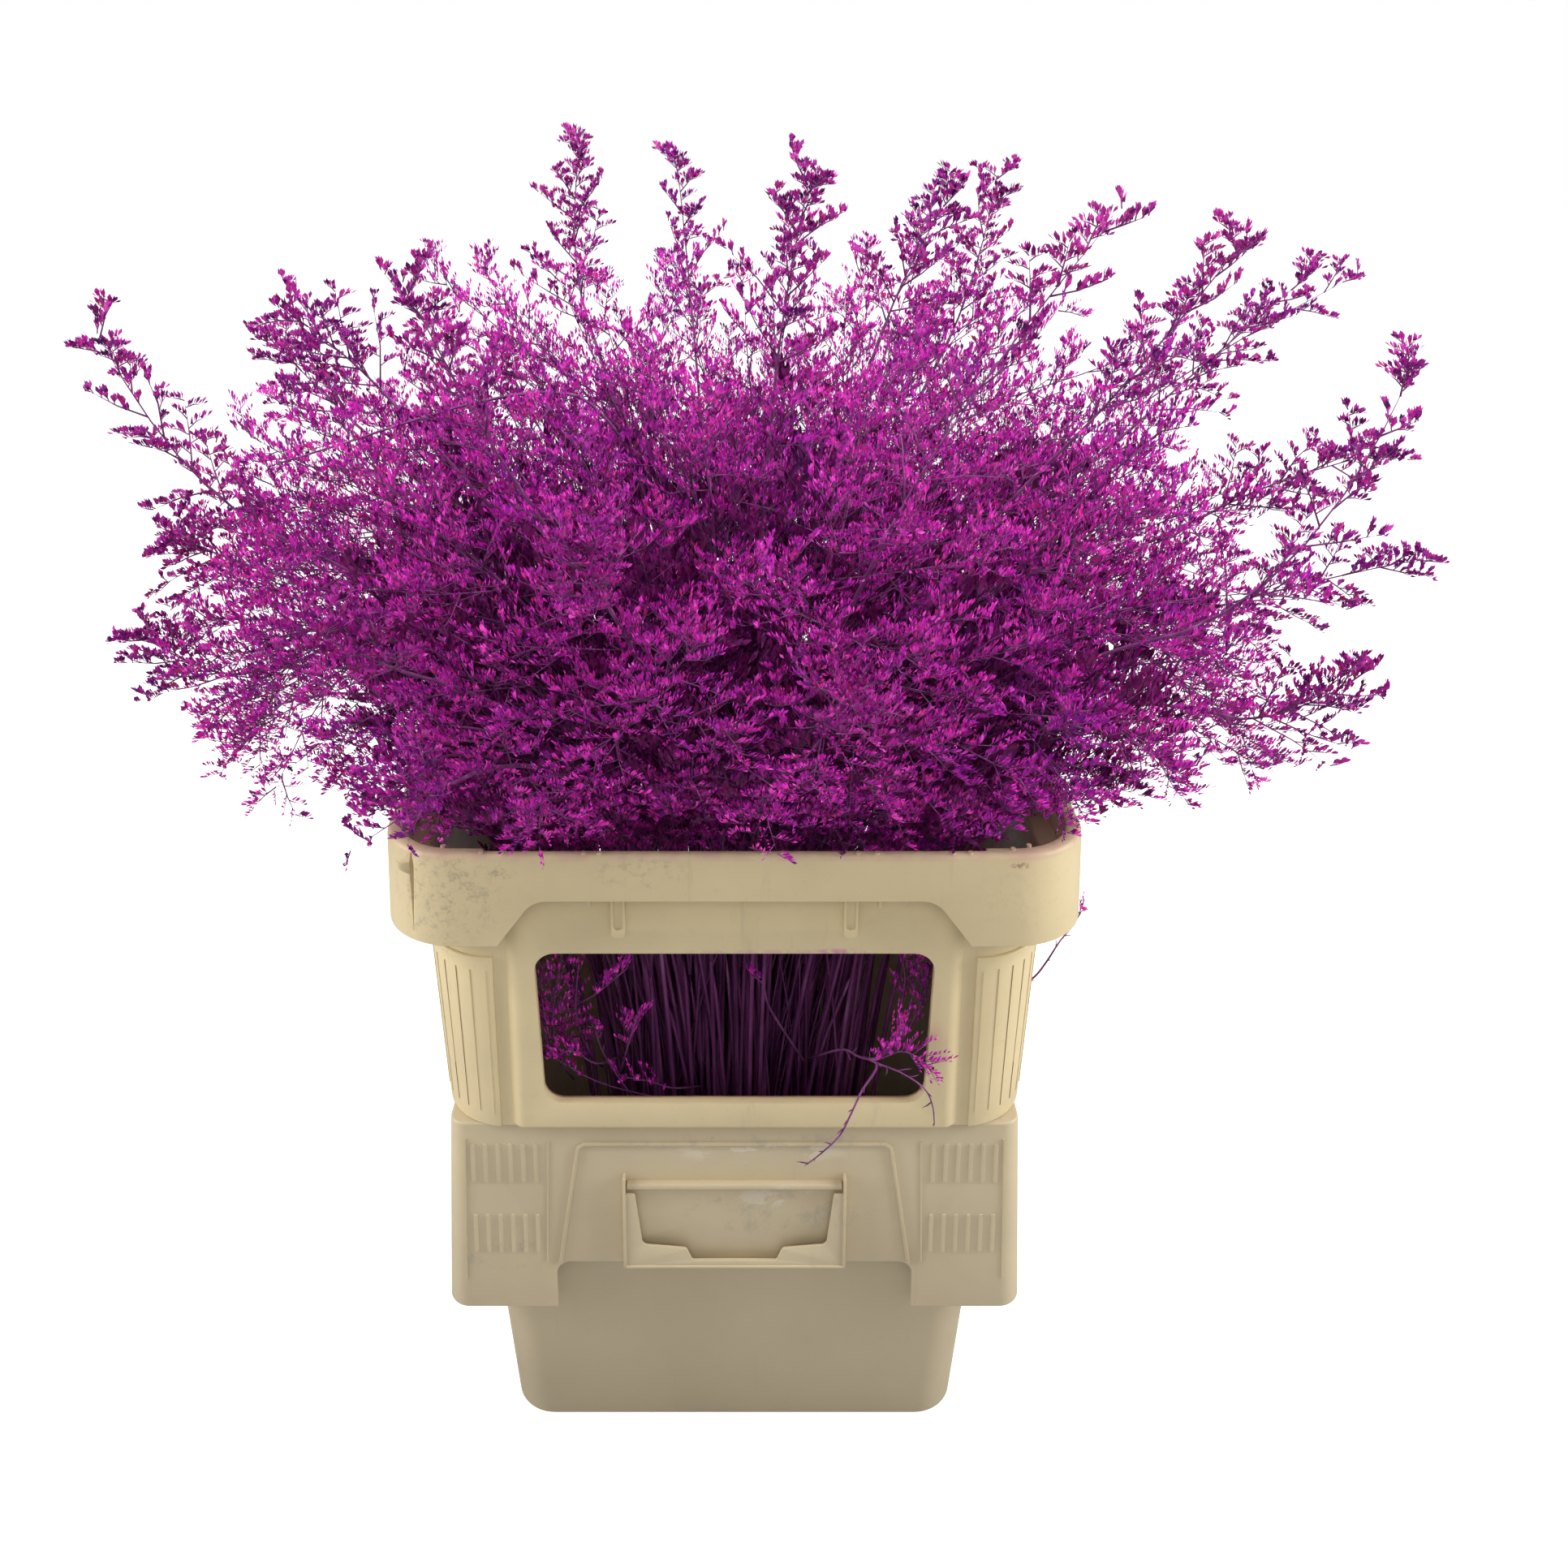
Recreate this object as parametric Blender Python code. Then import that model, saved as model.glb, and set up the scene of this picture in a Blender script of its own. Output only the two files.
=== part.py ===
"""Dried statice: dyed, branching stems standing in a plastic flower bucket with a tall collar.

Metres, +Z up. The origin is at the middle of the bucket's base, +X is to the right of the front,
and the front, with the label clip and the large window, faces -Y.
"""

import math
import random

import bmesh
import bpy
import numpy as np
from mathutils import Matrix, Vector

# Driving dimensions of the holder
GAP = 0.0003
BUCKET_HEIGHT = 0.285
BUCKET_HALF = (0.200, 0.150)
BUCKET_BASE_HALF = (0.168, 0.120)
PLASTIC = 0.003
SKIRT_DEPTH = 0.150
SKIRT_FLARE = 0.0065
CUT_AWAY_DEPTH = 0.1125
CUT_AWAY_HALF = 0.127
CUT_AWAY_CORNER = 0.010
COLLAR_HEIGHT = 0.225
COLLAR_FOOT_HALF = (0.202, 0.152)
COLLAR_CORNER = 0.045
COLLAR_TAPER = 0.0085
RIM_HALF = (0.2315, 0.1815)
RIM_CORNER = 0.050
RIM_FLARE = 0.0015
RIM_BAND = 0.026
RIM_SKIRT = 0.0645
RIM_HANDHOLD = 0.0325
HANDHOLD_HALF = (0.130, 0.154)
ARCH_CORNER = 0.018
PANEL_HALF = 0.152
PANEL_RAISE = 0.005
WINDOW_LOW = 0.022
WINDOW_HIGH = 0.1425
WINDOW_HALF = (0.1305, 0.134)
WINDOW_CORNER = 0.014
PAD_START = 0.162
PAD_HEIGHT = 0.137
PAD_RAISE = 0.0025
PAD_RETURN = 0.030
TAB_PLACE = 0.076
TAB_HALF = 0.005
TAB_LOW = 0.159
TAB_DEPTH = 0.007
THIN_RIM_HALF = 0.159
THIN_RIM_DEPTH = 0.018

# Driving dimensions of the bunch
STEMS = 29
SEED = 7
SITE_REACH = 0.985
SITE_JITTER = 0.16
FOOT_HALF = (0.080, 0.060)
MOUTH_HALF = (0.188, 0.138)
MOUTH_RISE = 0.015
MOUTH_LEAN = math.radians(50)
LOWER_PULL = 0.16
UPPER_PULL = 0.12
BUSH_HALF = (0.385, 0.255)
BUSH_MIDDLE = 0.100
BUSH_RISE = 0.262
BUSH_ANGLE = math.radians(105)
FRONT_LESS = math.radians(10)
BUSH_SQUARE = 2.6
BUSH_SWELL = 0.8
BUSH_LEVEL = 0.9
SPREAD_CENTRE = -0.12
BEYOND = 0.30
CELL_EDGE = 1.05
CELL_FILL = 0.86
STALK_RADIUS = (0.0028, 0.0018)
FORK_RADIUS = 0.0014
TWIG_RADIUS = 0.0014
TOOTH_REACH = 0.016
TOOTH_CLEAR = 0.85
TOOTH_AT = 0.85
NECK_AT = 0.50
TOOTH_LEAST = 1.6 * TWIG_RADIUS
TIP_WHORLS = 4
TWIG_WHORLS = 3
TWIG_TURN = math.radians(137.5)
TIP_START = 0.90
TIP_BOW = 0.42
TIP_REACH = (0.16, 0.26)
STALK_BEND = -0.66
FORK_START = -0.26
FORK_RISE = 0.60
FORK_FILL = 0.60
SIDE_SPREAD = 1.5
SIDE_RISE = 1.2
TWIGS = [(0.80, 0.28), (0.62, 0.33), (0.44, 0.38), (0.25, 0.40), (0.06, 0.36)]

RIM_Z = BUCKET_HEIGHT + COLLAR_HEIGHT
FLOOR_Z = PLASTIC

# Places, as x and height over the rim, of the long tips that stand out of the bush
LONG_TIPS = [
    (-0.446, 0.306), (-0.310, 0.320), (-0.230, 0.342), (-0.112, 0.430), (-0.046, 0.421), (0.052, 0.417),
    (0.148, 0.402), (0.196, 0.408), (0.265, 0.392), (0.352, 0.372), (0.405, 0.345), (0.500, 0.328),
    (0.480, 0.285), (0.462, 0.220), (0.498, 0.140), (0.462, 0.045), (-0.436, 0.080), (-0.405, 0.155),
]  # fmt: skip


def clear_scene():
    for obj in list(bpy.data.objects):
        bpy.data.objects.remove(obj, do_unlink=True)


def new_collection(name):
    collection = bpy.data.collections.new(name)
    bpy.context.scene.collection.children.link(collection)
    return collection


def new_material(name, colour, roughness):
    material = bpy.data.materials.new(name)
    material.use_nodes = True
    shader = material.node_tree.nodes["Principled BSDF"]
    shader.inputs["Base Color"].default_value = (*colour, 1.0)
    shader.inputs["Roughness"].default_value = roughness
    shader.inputs["Metallic"].default_value = 0.0
    return material


def object_from(name, vertices, faces, collection, material=None):
    mesh = bpy.data.meshes.new(name)
    mesh.from_pydata([tuple(v) for v in vertices], [], faces)
    obj = bpy.data.objects.new(name, mesh)
    collection.objects.link(obj)
    if material:
        mesh.materials.append(material)
    return obj


def as_cutter(obj):
    obj.hide_render = True
    obj.display_type = "WIRE"
    return obj


def apply_modifiers(obj):
    """Freezes what the modifiers make into the object's own mesh."""
    bpy.context.view_layer.update()
    graph = bpy.context.evaluated_depsgraph_get()
    mesh = bpy.data.meshes.new_from_object(obj.evaluated_get(graph))
    obj.modifiers.clear()
    obj.data = mesh


def boolean(obj, other, operation):
    modifier = obj.modifiers.new(other.name, "BOOLEAN")
    modifier.operation = operation
    modifier.solver = "EXACT"
    modifier.object = other


def keep_outer_shell(obj):
    """Fills hollows that a union sealed, and drops loose scraps, by keeping only the largest shell."""
    mesh = bmesh.new()
    mesh.from_mesh(obj.data)
    mesh.faces.ensure_lookup_table()
    seen = set()
    shells = []
    for start in mesh.faces:
        if start in seen:
            continue
        seen.add(start)
        shell = [start]
        for face in shell:
            for edge in face.edges:
                for other in edge.link_faces:
                    if other not in seen:
                        seen.add(other)
                        shell.append(other)
        shells.append(shell)
    largest = max(shells, key=len)
    for shell in shells:
        if shell is not largest:
            bmesh.ops.delete(mesh, geom=shell, context="FACES")
    mesh.to_mesh(obj.data)
    mesh.free()


def join_all(obj, pieces, solver="EXACT"):
    """Joins the pieces of a collection to the object in one union and removes them."""
    modifier = obj.modifiers.new("join", "BOOLEAN")
    modifier.operation = "UNION"
    modifier.solver = solver
    modifier.operand_type = "COLLECTION"
    modifier.collection = pieces
    apply_modifiers(obj)
    for piece in list(pieces.objects):
        bpy.data.objects.remove(piece, do_unlink=True)
    bpy.data.collections.remove(pieces)


# Rounded outlines and shells


def rounded_outline(half_x, half_y, corner, steps=4):
    """Points round a rounded rectangle, counterclockwise from the right side."""
    points = []
    for quarter in range(4):
        centre_x = (half_x - corner) * (1 if quarter in (0, 3) else -1)
        centre_y = (half_y - corner) * (1 if quarter in (0, 1) else -1)
        for step in range(steps + 1):
            angle = math.pi / 2 * (quarter + step / steps)
            points.append((centre_x + corner * math.cos(angle), centre_y + corner * math.sin(angle)))
    return points


def shell_of(name, sections, collection, material, capped):
    """Joins rounded outlines, each (half_x, half_y, corner, z), into a closed wall: a capped tub or a ring."""
    rings = [[(x, y, z) for x, y in rounded_outline(hx, hy, r)] for hx, hy, r, z in sections]
    count = len(rings[0])
    vertices = [v for ring in rings for v in ring]
    faces = []
    for index in range(len(rings) - (1 if capped else 0)):
        after = (index + 1) % len(rings)
        for k in range(count):
            n = (k + 1) % count
            faces.append((index * count + k, index * count + n, after * count + n, after * count + k))
    if capped:
        faces.append(tuple(reversed(range(count))))
        faces.append(tuple(range((len(rings) - 1) * count, len(rings) * count)))
    obj = object_from(name, vertices, faces, collection, material)
    face_outwards(obj)
    return obj


def face_outwards(obj):
    mesh = bmesh.new()
    mesh.from_mesh(obj.data)
    bmesh.ops.recalc_face_normals(mesh, faces=mesh.faces)
    mesh.to_mesh(obj.data)
    mesh.free()


def plate(name, outline, near_y, far_y, collection, material=None):
    """A flat outline in x and z, given its thickness between two values of y."""
    curve = bpy.data.curves.new(name, "CURVE")
    curve.dimensions = "2D"
    curve.fill_mode = "BOTH"
    curve.extrude = abs(far_y - near_y) / 2
    spline = curve.splines.new("POLY")
    spline.points.add(len(outline) - 1)
    for point, (x, z) in zip(spline.points, outline):
        point.co = (x, z, 0.0, 1.0)
    spline.use_cyclic_u = True
    guide = bpy.data.objects.new(name, curve)
    collection.objects.link(guide)
    upright = Matrix.Rotation(math.pi / 2, 4, "X")
    guide.matrix_world = Matrix.Translation((0, (near_y + far_y) / 2, 0)) @ upright
    bpy.context.view_layer.update()
    graph = bpy.context.evaluated_depsgraph_get()
    mesh = bpy.data.meshes.new_from_object(guide.evaluated_get(graph))
    welded = bmesh.new()
    welded.from_mesh(mesh)
    bmesh.ops.remove_doubles(welded, verts=welded.verts, dist=1e-6)
    bmesh.ops.recalc_face_normals(welded, faces=welded.faces)
    welded.to_mesh(mesh)
    welded.free()
    place_of = guide.matrix_world.copy()
    bpy.data.objects.remove(guide, do_unlink=True)
    obj = bpy.data.objects.new(name, mesh)
    obj.matrix_world = place_of
    collection.objects.link(obj)
    if material:
        mesh.materials.append(material)
    return obj


def box(name, low, high, collection):
    """A cube primitive stretched between two corners."""
    mesh = bmesh.new()
    bmesh.ops.create_cube(mesh, size=1.0)
    for vertex in mesh.verts:
        vertex.co = [(a + b) / 2 + c * (b - a) for a, b, c in zip(low, high, vertex.co)]
    data = bpy.data.meshes.new(name)
    mesh.to_mesh(data)
    mesh.free()
    obj = bpy.data.objects.new(name, data)
    collection.objects.link(obj)
    return obj


def round_corners(corners, radius, steps=4):
    """The polygon with each corner replaced by an arc, or kept where its own radius is 0."""
    radii = radius if isinstance(radius, (list, tuple)) else [radius] * len(corners)
    points = []
    for index, corner in enumerate(corners):
        here = Vector(corner)
        before = (Vector(corners[index - 1]) - here).normalized()
        after = (Vector(corners[(index + 1) % len(corners)]) - here).normalized()
        if radii[index] == 0:
            points.append(tuple(here))
            continue
        half = before.angle(after) / 2
        run = radii[index] / math.tan(half)
        centre = here + (before + after).normalized() * (radii[index] / math.sin(half))
        start = here + before * run - centre
        end = here + after * run - centre
        turn = start.angle_signed(end)
        for step in range(steps + 1):
            spun = start.copy()
            spun.rotate(Matrix.Rotation(-turn * step / steps, 2))
            points.append(tuple(centre + spun))
    return points


# Bucket


def make_bucket(parts, cutters, plastic):
    hx, hy = BUCKET_HALF
    bx, by = BUCKET_BASE_HALF
    top = BUCKET_HEIGHT
    low = top - SKIRT_DEPTH
    flare = SKIRT_FLARE
    sections = [
        (bx - PLASTIC, by - PLASTIC, 0.027, FLOOR_Z),
        (hx - 0.013, hy - 0.0125, 0.031, top),
        (hx - 0.001, hy - 0.001, 0.011, top),
        (hx, hy, 0.012, top - 0.001),
        (hx + flare, hy + flare, 0.016, low),
        (hx + flare - PLASTIC, hy + flare - PLASTIC, 0.0135, low),
        (hx - PLASTIC, hy - PLASTIC, 0.0100, top - 0.004),
        (hx - 0.010, hy - 0.0095, 0.034, top - 0.004),
        (bx, by, 0.030, 0.0),
    ]
    bucket = shell_of("bucket", sections, parts, plastic, capped=True)
    cut_low = low - 0.010
    cut_high = top - CUT_AWAY_DEPTH
    half = CUT_AWAY_HALF
    corners = [(-half, cut_low), (half, cut_low), (half, cut_high), (-half, cut_high)]
    opening = round_corners(corners, [0, 0, CUT_AWAY_CORNER, CUT_AWAY_CORNER])
    face_y = -(hy + flare * 0.75)
    for side, name in ((1, "bucket_front_cut"), (-1, "bucket_back_cut")):
        near = side * (face_y - 0.010)
        far = side * (-hy + 0.0015)
        cutter = as_cutter(plate(name, opening, min(near, far), max(near, far), cutters))
        boolean(bucket, cutter, "DIFFERENCE")
    add_label_clip(bucket, top)
    return bucket


def add_label_clip(bucket, top):
    """Joins the raised frame, the two fins, the bar and the pocket of the label clip to the front skirt."""
    pieces = new_collection("clip_pieces")
    slope = SKIRT_FLARE / SKIRT_DEPTH
    lean = Matrix.Translation((0, -BUCKET_HALF[1], top)) @ Matrix.Rotation(-math.atan(slope), 4, "X")
    frame_low, frame_high = -CUT_AWAY_DEPTH + 0.003, -0.0145
    parts = [
        ("frame_top", (-0.108, frame_high - 0.0025), (0.108, frame_high), 0.0020),
        ("bar", (-0.0755, -0.0485), (0.0755, -0.0455), 0.0060),
        ("fin_left", (-0.0785, frame_low - 0.002), (-0.0765, -0.0400), 0.0080),
        ("fin_right", (0.0765, frame_low - 0.002), (0.0785, -0.0400), 0.0080),
        ("ledge", (-0.0780, frame_low - 0.002), (0.0780, frame_low + 0.001), 0.0080),
    ]
    for name, (x0, z0), (x1, z1), proud in parts:
        piece = box(name, (x0, -proud, z0), (x1, 0.0015, z1), pieces)
        piece.matrix_world = lean
    pocket = [
        (-0.0770, -0.0520), (-0.0700, -0.0520), (-0.0650, -0.0930), (-0.0340, -0.0960),
        (-0.0300, -0.1075), (0.0300, -0.1075), (0.0340, -0.0960), (0.0650, -0.0930),
        (0.0700, -0.0520), (0.0770, -0.0520), (0.0770, -0.1090), (-0.0770, -0.1090),
    ]  # fmt: skip
    piece = plate("pocket", pocket, -0.0070, -0.0050, pieces)
    piece.matrix_world = lean @ piece.matrix_world
    for side in (-1, 1):
        rail = [
            (side * 0.1080, frame_high), (side * 0.1080, frame_high - 0.0025), (side * 0.1225, -0.1130),
            (side * 0.1250, -0.1130), (side * 0.1105, frame_high - 0.0025), (side * 0.1105, frame_high),
        ]  # fmt: skip
        piece = plate(f"rail_{side}", rail[::side], -0.0020, 0.0015, pieces)
        piece.matrix_world = lean @ piece.matrix_world
    join_all(bucket, pieces)


# Collar


def make_collar(parts, cutters, plastic):
    base = BUCKET_HEIGHT + GAP
    fx, fy = COLLAR_FOOT_HALF
    rx, ry = RIM_HALF
    wall = COLLAR_HEIGHT - RIM_BAND - 0.003
    taper = COLLAR_TAPER
    top = COLLAR_HEIGHT
    band = top - RIM_BAND
    low = top - RIM_SKIRT
    sections = [
        (fx - 0.010, fy - 0.010, 0.036, 0.0),
        (fx, fy, COLLAR_CORNER, 0.0),
        (fx + taper, fy + taper, COLLAR_CORNER + 0.002, wall),
        (rx - PLASTIC, ry - PLASTIC, RIM_CORNER - 0.002, band),
        (rx + RIM_FLARE - PLASTIC, ry + RIM_FLARE - PLASTIC, RIM_CORNER - 0.001, low),
        (rx + RIM_FLARE, ry + RIM_FLARE, RIM_CORNER + 0.001, low),
        (rx, ry, RIM_CORNER, top - 0.002),
        (rx - 0.002, ry - 0.002, RIM_CORNER - 0.002, top),
        (rx - 0.010, ry - 0.010, RIM_CORNER - 0.010, top),
        (rx - 0.012, ry - 0.012, RIM_CORNER - 0.012, band + 0.004),
        (fx + taper - PLASTIC, fy + taper - PLASTIC, COLLAR_CORNER - 0.001, wall + 0.001),
        (fx - PLASTIC, fy - PLASTIC, COLLAR_CORNER - 0.003, 0.004),
        (fx - 0.010, fy - 0.010, 0.036, 0.004),
    ]
    sections = [(hx, hy, r, base + z) for hx, hy, r, z in sections]
    collar = shell_of("collar", sections, parts, plastic, capped=False)
    add_collar_relief(collar, base, wall)
    cut_collar(collar, cutters, base)
    return collar


def wall_out(height):
    """How far the collar's wall stands out at this height, over its foot."""
    return COLLAR_TAPER * height / (COLLAR_HEIGHT - RIM_BAND - 0.003)


def slab_on_front(name, rows, raise_by, base, collection, side):
    """A raised panel that follows the tapering front wall, given as rows of height and half width."""
    vertices = []
    for height, half in rows:
        face = COLLAR_FOOT_HALF[1] + wall_out(height)
        for depth, inset in ((face - 0.0015, 0.0), (face + raise_by, 0.008)):
            for sign in (-1, 1):
                vertices.append((sign * (half - inset), -side * depth, base + height))
    faces = [(0, 1, 3, 2), (4, 6, 7, 5), (0, 4, 5, 1), (2, 3, 7, 6), (0, 2, 6, 4), (1, 5, 7, 3)]
    obj = object_from(name, vertices, faces, collection)
    face_outwards(obj)
    return obj


def corner_pad(name, base, collection, sign_x, sign_y, steps=6):
    """A thin pad that wraps a corner of the collar, from the front or back round to the side."""
    columns = []
    for height in (0.0, PAD_HEIGHT):
        out = wall_out(height)
        hx, hy = COLLAR_FOOT_HALF[0] + out, COLLAR_FOOT_HALF[1] + out
        radius = COLLAR_CORNER
        first = math.acos((PAD_START - hx + radius) / radius)
        path = []
        for step in range(steps + 1):
            angle = first * (1 - step / steps)
            path.append((hx - radius + radius * math.cos(angle), hy - radius + radius * math.sin(angle),
                         math.cos(angle), math.sin(angle)))  # fmt: skip
        path.append((hx, hy - radius - PAD_RETURN, 1.0, 0.0))
        columns.append([[(sign_x * (x + nx * d), sign_y * (y + ny * d), base + height)
                         for d in (-0.0012, PAD_RAISE)] for x, y, nx, ny in path])  # fmt: skip
    count = len(columns[0])
    vertices = [v for column in columns for pair in column for v in pair]
    faces = []
    for k in range(count - 1):
        a, b = 2 * k, 2 * (k + 1)
        c, d = a + 2 * count, b + 2 * count
        faces += [(a, b, d, c), (a + 1, c + 1, d + 1, b + 1), (a, a + 1, b + 1, b), (c, d, d + 1, c + 1)]
    last = 2 * (count - 1)
    faces += [(0, 2 * count, 2 * count + 1, 1), (last, last + 1, last + 1 + 2 * count, last + 2 * count)]
    obj = object_from(name, vertices, faces, collection)
    face_outwards(obj)
    return obj


def add_collar_relief(collar, base, wall):
    """Joins the raised front and back panels, the corner pads and the small hanging tabs to the wall."""
    pieces = new_collection("relief_pieces")
    for side, name in ((1, "front"), (-1, "back")):
        rows = ((0.0, PANEL_HALF + 0.004), (wall - 0.001, PANEL_HALF + 0.002))
        slab_on_front(f"panel_{name}", rows, PANEL_RAISE, base, pieces, side)
        face = COLLAR_FOOT_HALF[1] + wall_out((TAB_LOW + wall) / 2) + PANEL_RAISE
        y0, y1 = sorted((-side * (face - 0.002), -side * (face + TAB_DEPTH)))
        for x in (-TAB_PLACE, TAB_PLACE):
            low = (x - TAB_HALF, y0, base + TAB_LOW)
            box("tab", low, (x + TAB_HALF, y1, base + COLLAR_HEIGHT - RIM_BAND + 0.001), pieces)
    for sign_x in (-1, 1):
        for sign_y in (-1, 1):
            corner_pad("pad", base, pieces, sign_x, sign_y)
    join_all(collar, pieces)


def cut_collar(collar, cutters, base):
    """Cuts the windows, the skirt's hand-hold arches and the thin middle of the rim, in front and behind."""
    low, high = base + WINDOW_LOW, base + WINDOW_HIGH
    half_low, half_high = WINDOW_HALF
    corners = [(-half_low, low), (half_low, low), (half_high, high), (-half_high, high)]
    window = round_corners(corners, WINDOW_CORNER)
    skirt_low = base + COLLAR_HEIGHT - RIM_SKIRT
    arch_high = base + COLLAR_HEIGHT - RIM_HANDHOLD
    narrow, wide = HANDHOLD_HALF
    below = skirt_low - 0.01
    corners = [(-wide, skirt_low), (-wide, below), (wide, below), (wide, skirt_low),
               (narrow, arch_high), (-narrow, arch_high)]  # fmt: skip
    arch = round_corners(corners, [0, 0, 0, 0, ARCH_CORNER, ARCH_CORNER])
    rim = RIM_HALF[1]
    half = THIN_RIM_HALF
    low, high = base + COLLAR_HEIGHT - THIN_RIM_DEPTH, base + COLLAR_HEIGHT + 0.01
    thin = [(-half, low), (half, low), (half, high), (-half, high)]
    for side, name in ((1, "front"), (-1, "back")):
        for label, outline, near, far in (
            ("window", window, 0.130, 0.175),
            ("arch", arch, rim - 0.0072, rim + 0.010),
            ("thin_rim", thin, rim - 0.020, rim - 0.0057),
        ):
            y0, y1 = sorted((-side * near, -side * far))
            boolean(collar, as_cutter(plate(f"{label}_{name}", outline, y0, y1, cutters)), "DIFFERENCE")
    apply_modifiers(collar)


# Bunch: every stem keeps to its own cell of a unit disc, and the disc is carried from the bucket's
# floor through the collar's mouth out to the bush's surface, so that no two stems meet.


def disc_sites():
    """One site a stem in the unit disc, in a sunflower pattern with a little seeded jitter."""
    draw = random.Random(SEED)
    golden = math.pi * (3 - math.sqrt(5))
    sites = []
    for index in range(STEMS):
        radius = math.sqrt((index + 0.5) / STEMS) * SITE_REACH
        angle = index * golden + draw.uniform(-SITE_JITTER, SITE_JITTER)
        sites.append((radius * math.cos(angle), radius * math.sin(angle)))
    return np.array(sites)


def cell_reach(sites, index, angle):
    """How far the cell of a site reaches at an angle: half way to its neighbours, or to the disc's edge."""
    site = sites[index]
    heading = np.array((math.cos(angle), math.sin(angle)))
    along = site @ heading
    reach = -along + math.sqrt(along * along + CELL_EDGE**2 - site @ site)
    for other in np.delete(sites, index, axis=0):
        toward = (other - site) @ heading
        if toward > 1e-6:
            reach = min(reach, (other - site) @ (other - site) / (2 * toward))
    return reach


def squareness(u, v):
    """Stretches the disc towards a rounded rectangle along its diagonals."""
    r = math.hypot(u, v)
    if r < 1e-9:
        return 1.0
    return (abs(u / r) ** BUSH_SQUARE + abs(v / r) ** BUSH_SQUARE) ** (-1 / BUSH_SQUARE)


def bend(a, b, c, s):
    return a * (1 - s) ** 2 + b * 2 * s * (1 - s) + c * s * s


def bush_point(u, v, t):
    """The world place of disc point (u, v): t is -1 on the floor, 0 at the mouth and 1 on the bush's surface."""
    r = math.hypot(u, v)
    stretch = squareness(u, v)
    su, sv = u * stretch, v * stretch
    foot = Vector((FOOT_HALF[0] * su, FOOT_HALF[1] * sv, FLOOR_Z + 2 * GAP))
    mouth = Vector((MOUTH_HALF[0] * su, MOUTH_HALF[1] * sv, RIM_Z + MOUTH_RISE))
    out = Vector((MOUTH_HALF[0] * u, MOUTH_HALF[1] * v, 0.0)).normalized()
    lean = MOUTH_LEAN * r
    heading = out * math.sin(lean) + Vector((0, 0, math.cos(lean)))
    if t <= 0:
        return bend(foot, mouth - heading * LOWER_PULL, mouth, 1 + t)
    polar = BUSH_ANGLE * r - FRONT_LESS * v * v / max(r, 1e-9)
    swell = math.sin(polar) ** BUSH_SWELL / max(r, 1e-9)
    level = math.copysign(abs(math.cos(polar)) ** BUSH_LEVEL, math.cos(polar))
    height = RIM_Z + BUSH_MIDDLE + BUSH_RISE * level
    surface = Vector((BUSH_HALF[0] * su * swell, BUSH_HALF[1] * sv * swell, height))
    if t <= 1:
        return bend(mouth, mouth + heading * UPPER_PULL, surface, t)
    away = (surface - Vector((0, 0, RIM_Z + SPREAD_CENTRE))).normalized()
    return surface + away * (t - 1) * BEYOND


def across_of(start, end):
    """The world axis that lies most across the line between two places."""
    line = end - start
    return Vector([1.0 if k == min(range(3), key=lambda n: abs(line[n])) else 0.0 for k in range(3)])


def ring_round(centre, tangent, across, radius, sides, spin):
    side = tangent.cross(across).normalized()
    up = side.cross(tangent).normalized()
    turns = [spin + 2 * math.pi * k / sides for k in range(sides)]
    return [centre + side * math.cos(a) * radius + up * math.sin(a) * radius for a in turns]


def tube_from_rings(name, rings, collection):
    sides = len(rings[0])
    vertices = [v for ring in rings for v in ring]
    faces = [tuple(range(sides)), tuple(reversed(range(len(vertices) - sides, len(vertices))))]
    for index in range(len(rings) - 1):
        for k in range(sides):
            n = (k + 1) % sides
            a = index * sides
            faces.append((a + n, a + k, a + sides + k))
            faces.append((a + sides + n, a + n, a + sides + k))
    return object_from(name, vertices, faces, collection)


def tangents_of(points):
    return [(points[min(k + 1, len(points) - 1)] - points[max(k - 1, 0)]).normalized() for k in range(len(points))]


def bare_branch(name, points, radii, sides, collection, flat_foot=False):
    """A plain tapering branch along the points."""
    tangents = tangents_of(points)
    if flat_foot:
        tangents[0] = Vector((0, 0, 1))
    steps = len(points) - 1
    across = across_of(points[0], points[-1])
    rings = [
        ring_round(p, tangent, across, radii[0] + (radii[1] - radii[0]) * k / steps, sides, 0.4)
        for k, (p, tangent) in enumerate(zip(points, tangents))
    ]
    return tube_from_rings(name, rings, collection)


def room_round(sites, index, u, v, t):
    """The distance from a place in a stem's cell to the cell's nearest side, in metres."""
    here = np.array((u, v))
    least = 1.0
    for other in np.delete(sites, index, axis=0):
        across = other - sites[index]
        span = math.hypot(*across)
        gap = ((here - other) @ (here - other) - (here - sites[index]) @ (here - sites[index])) / (2 * span)
        if gap < 0.3:
            step = 0.01 * across / span
            scale = (bush_point(u + step[0], v + step[1], t) - bush_point(u, v, t)).length / 0.01
            least = min(least, gap * scale)
    return max(least, 0.0)


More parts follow.
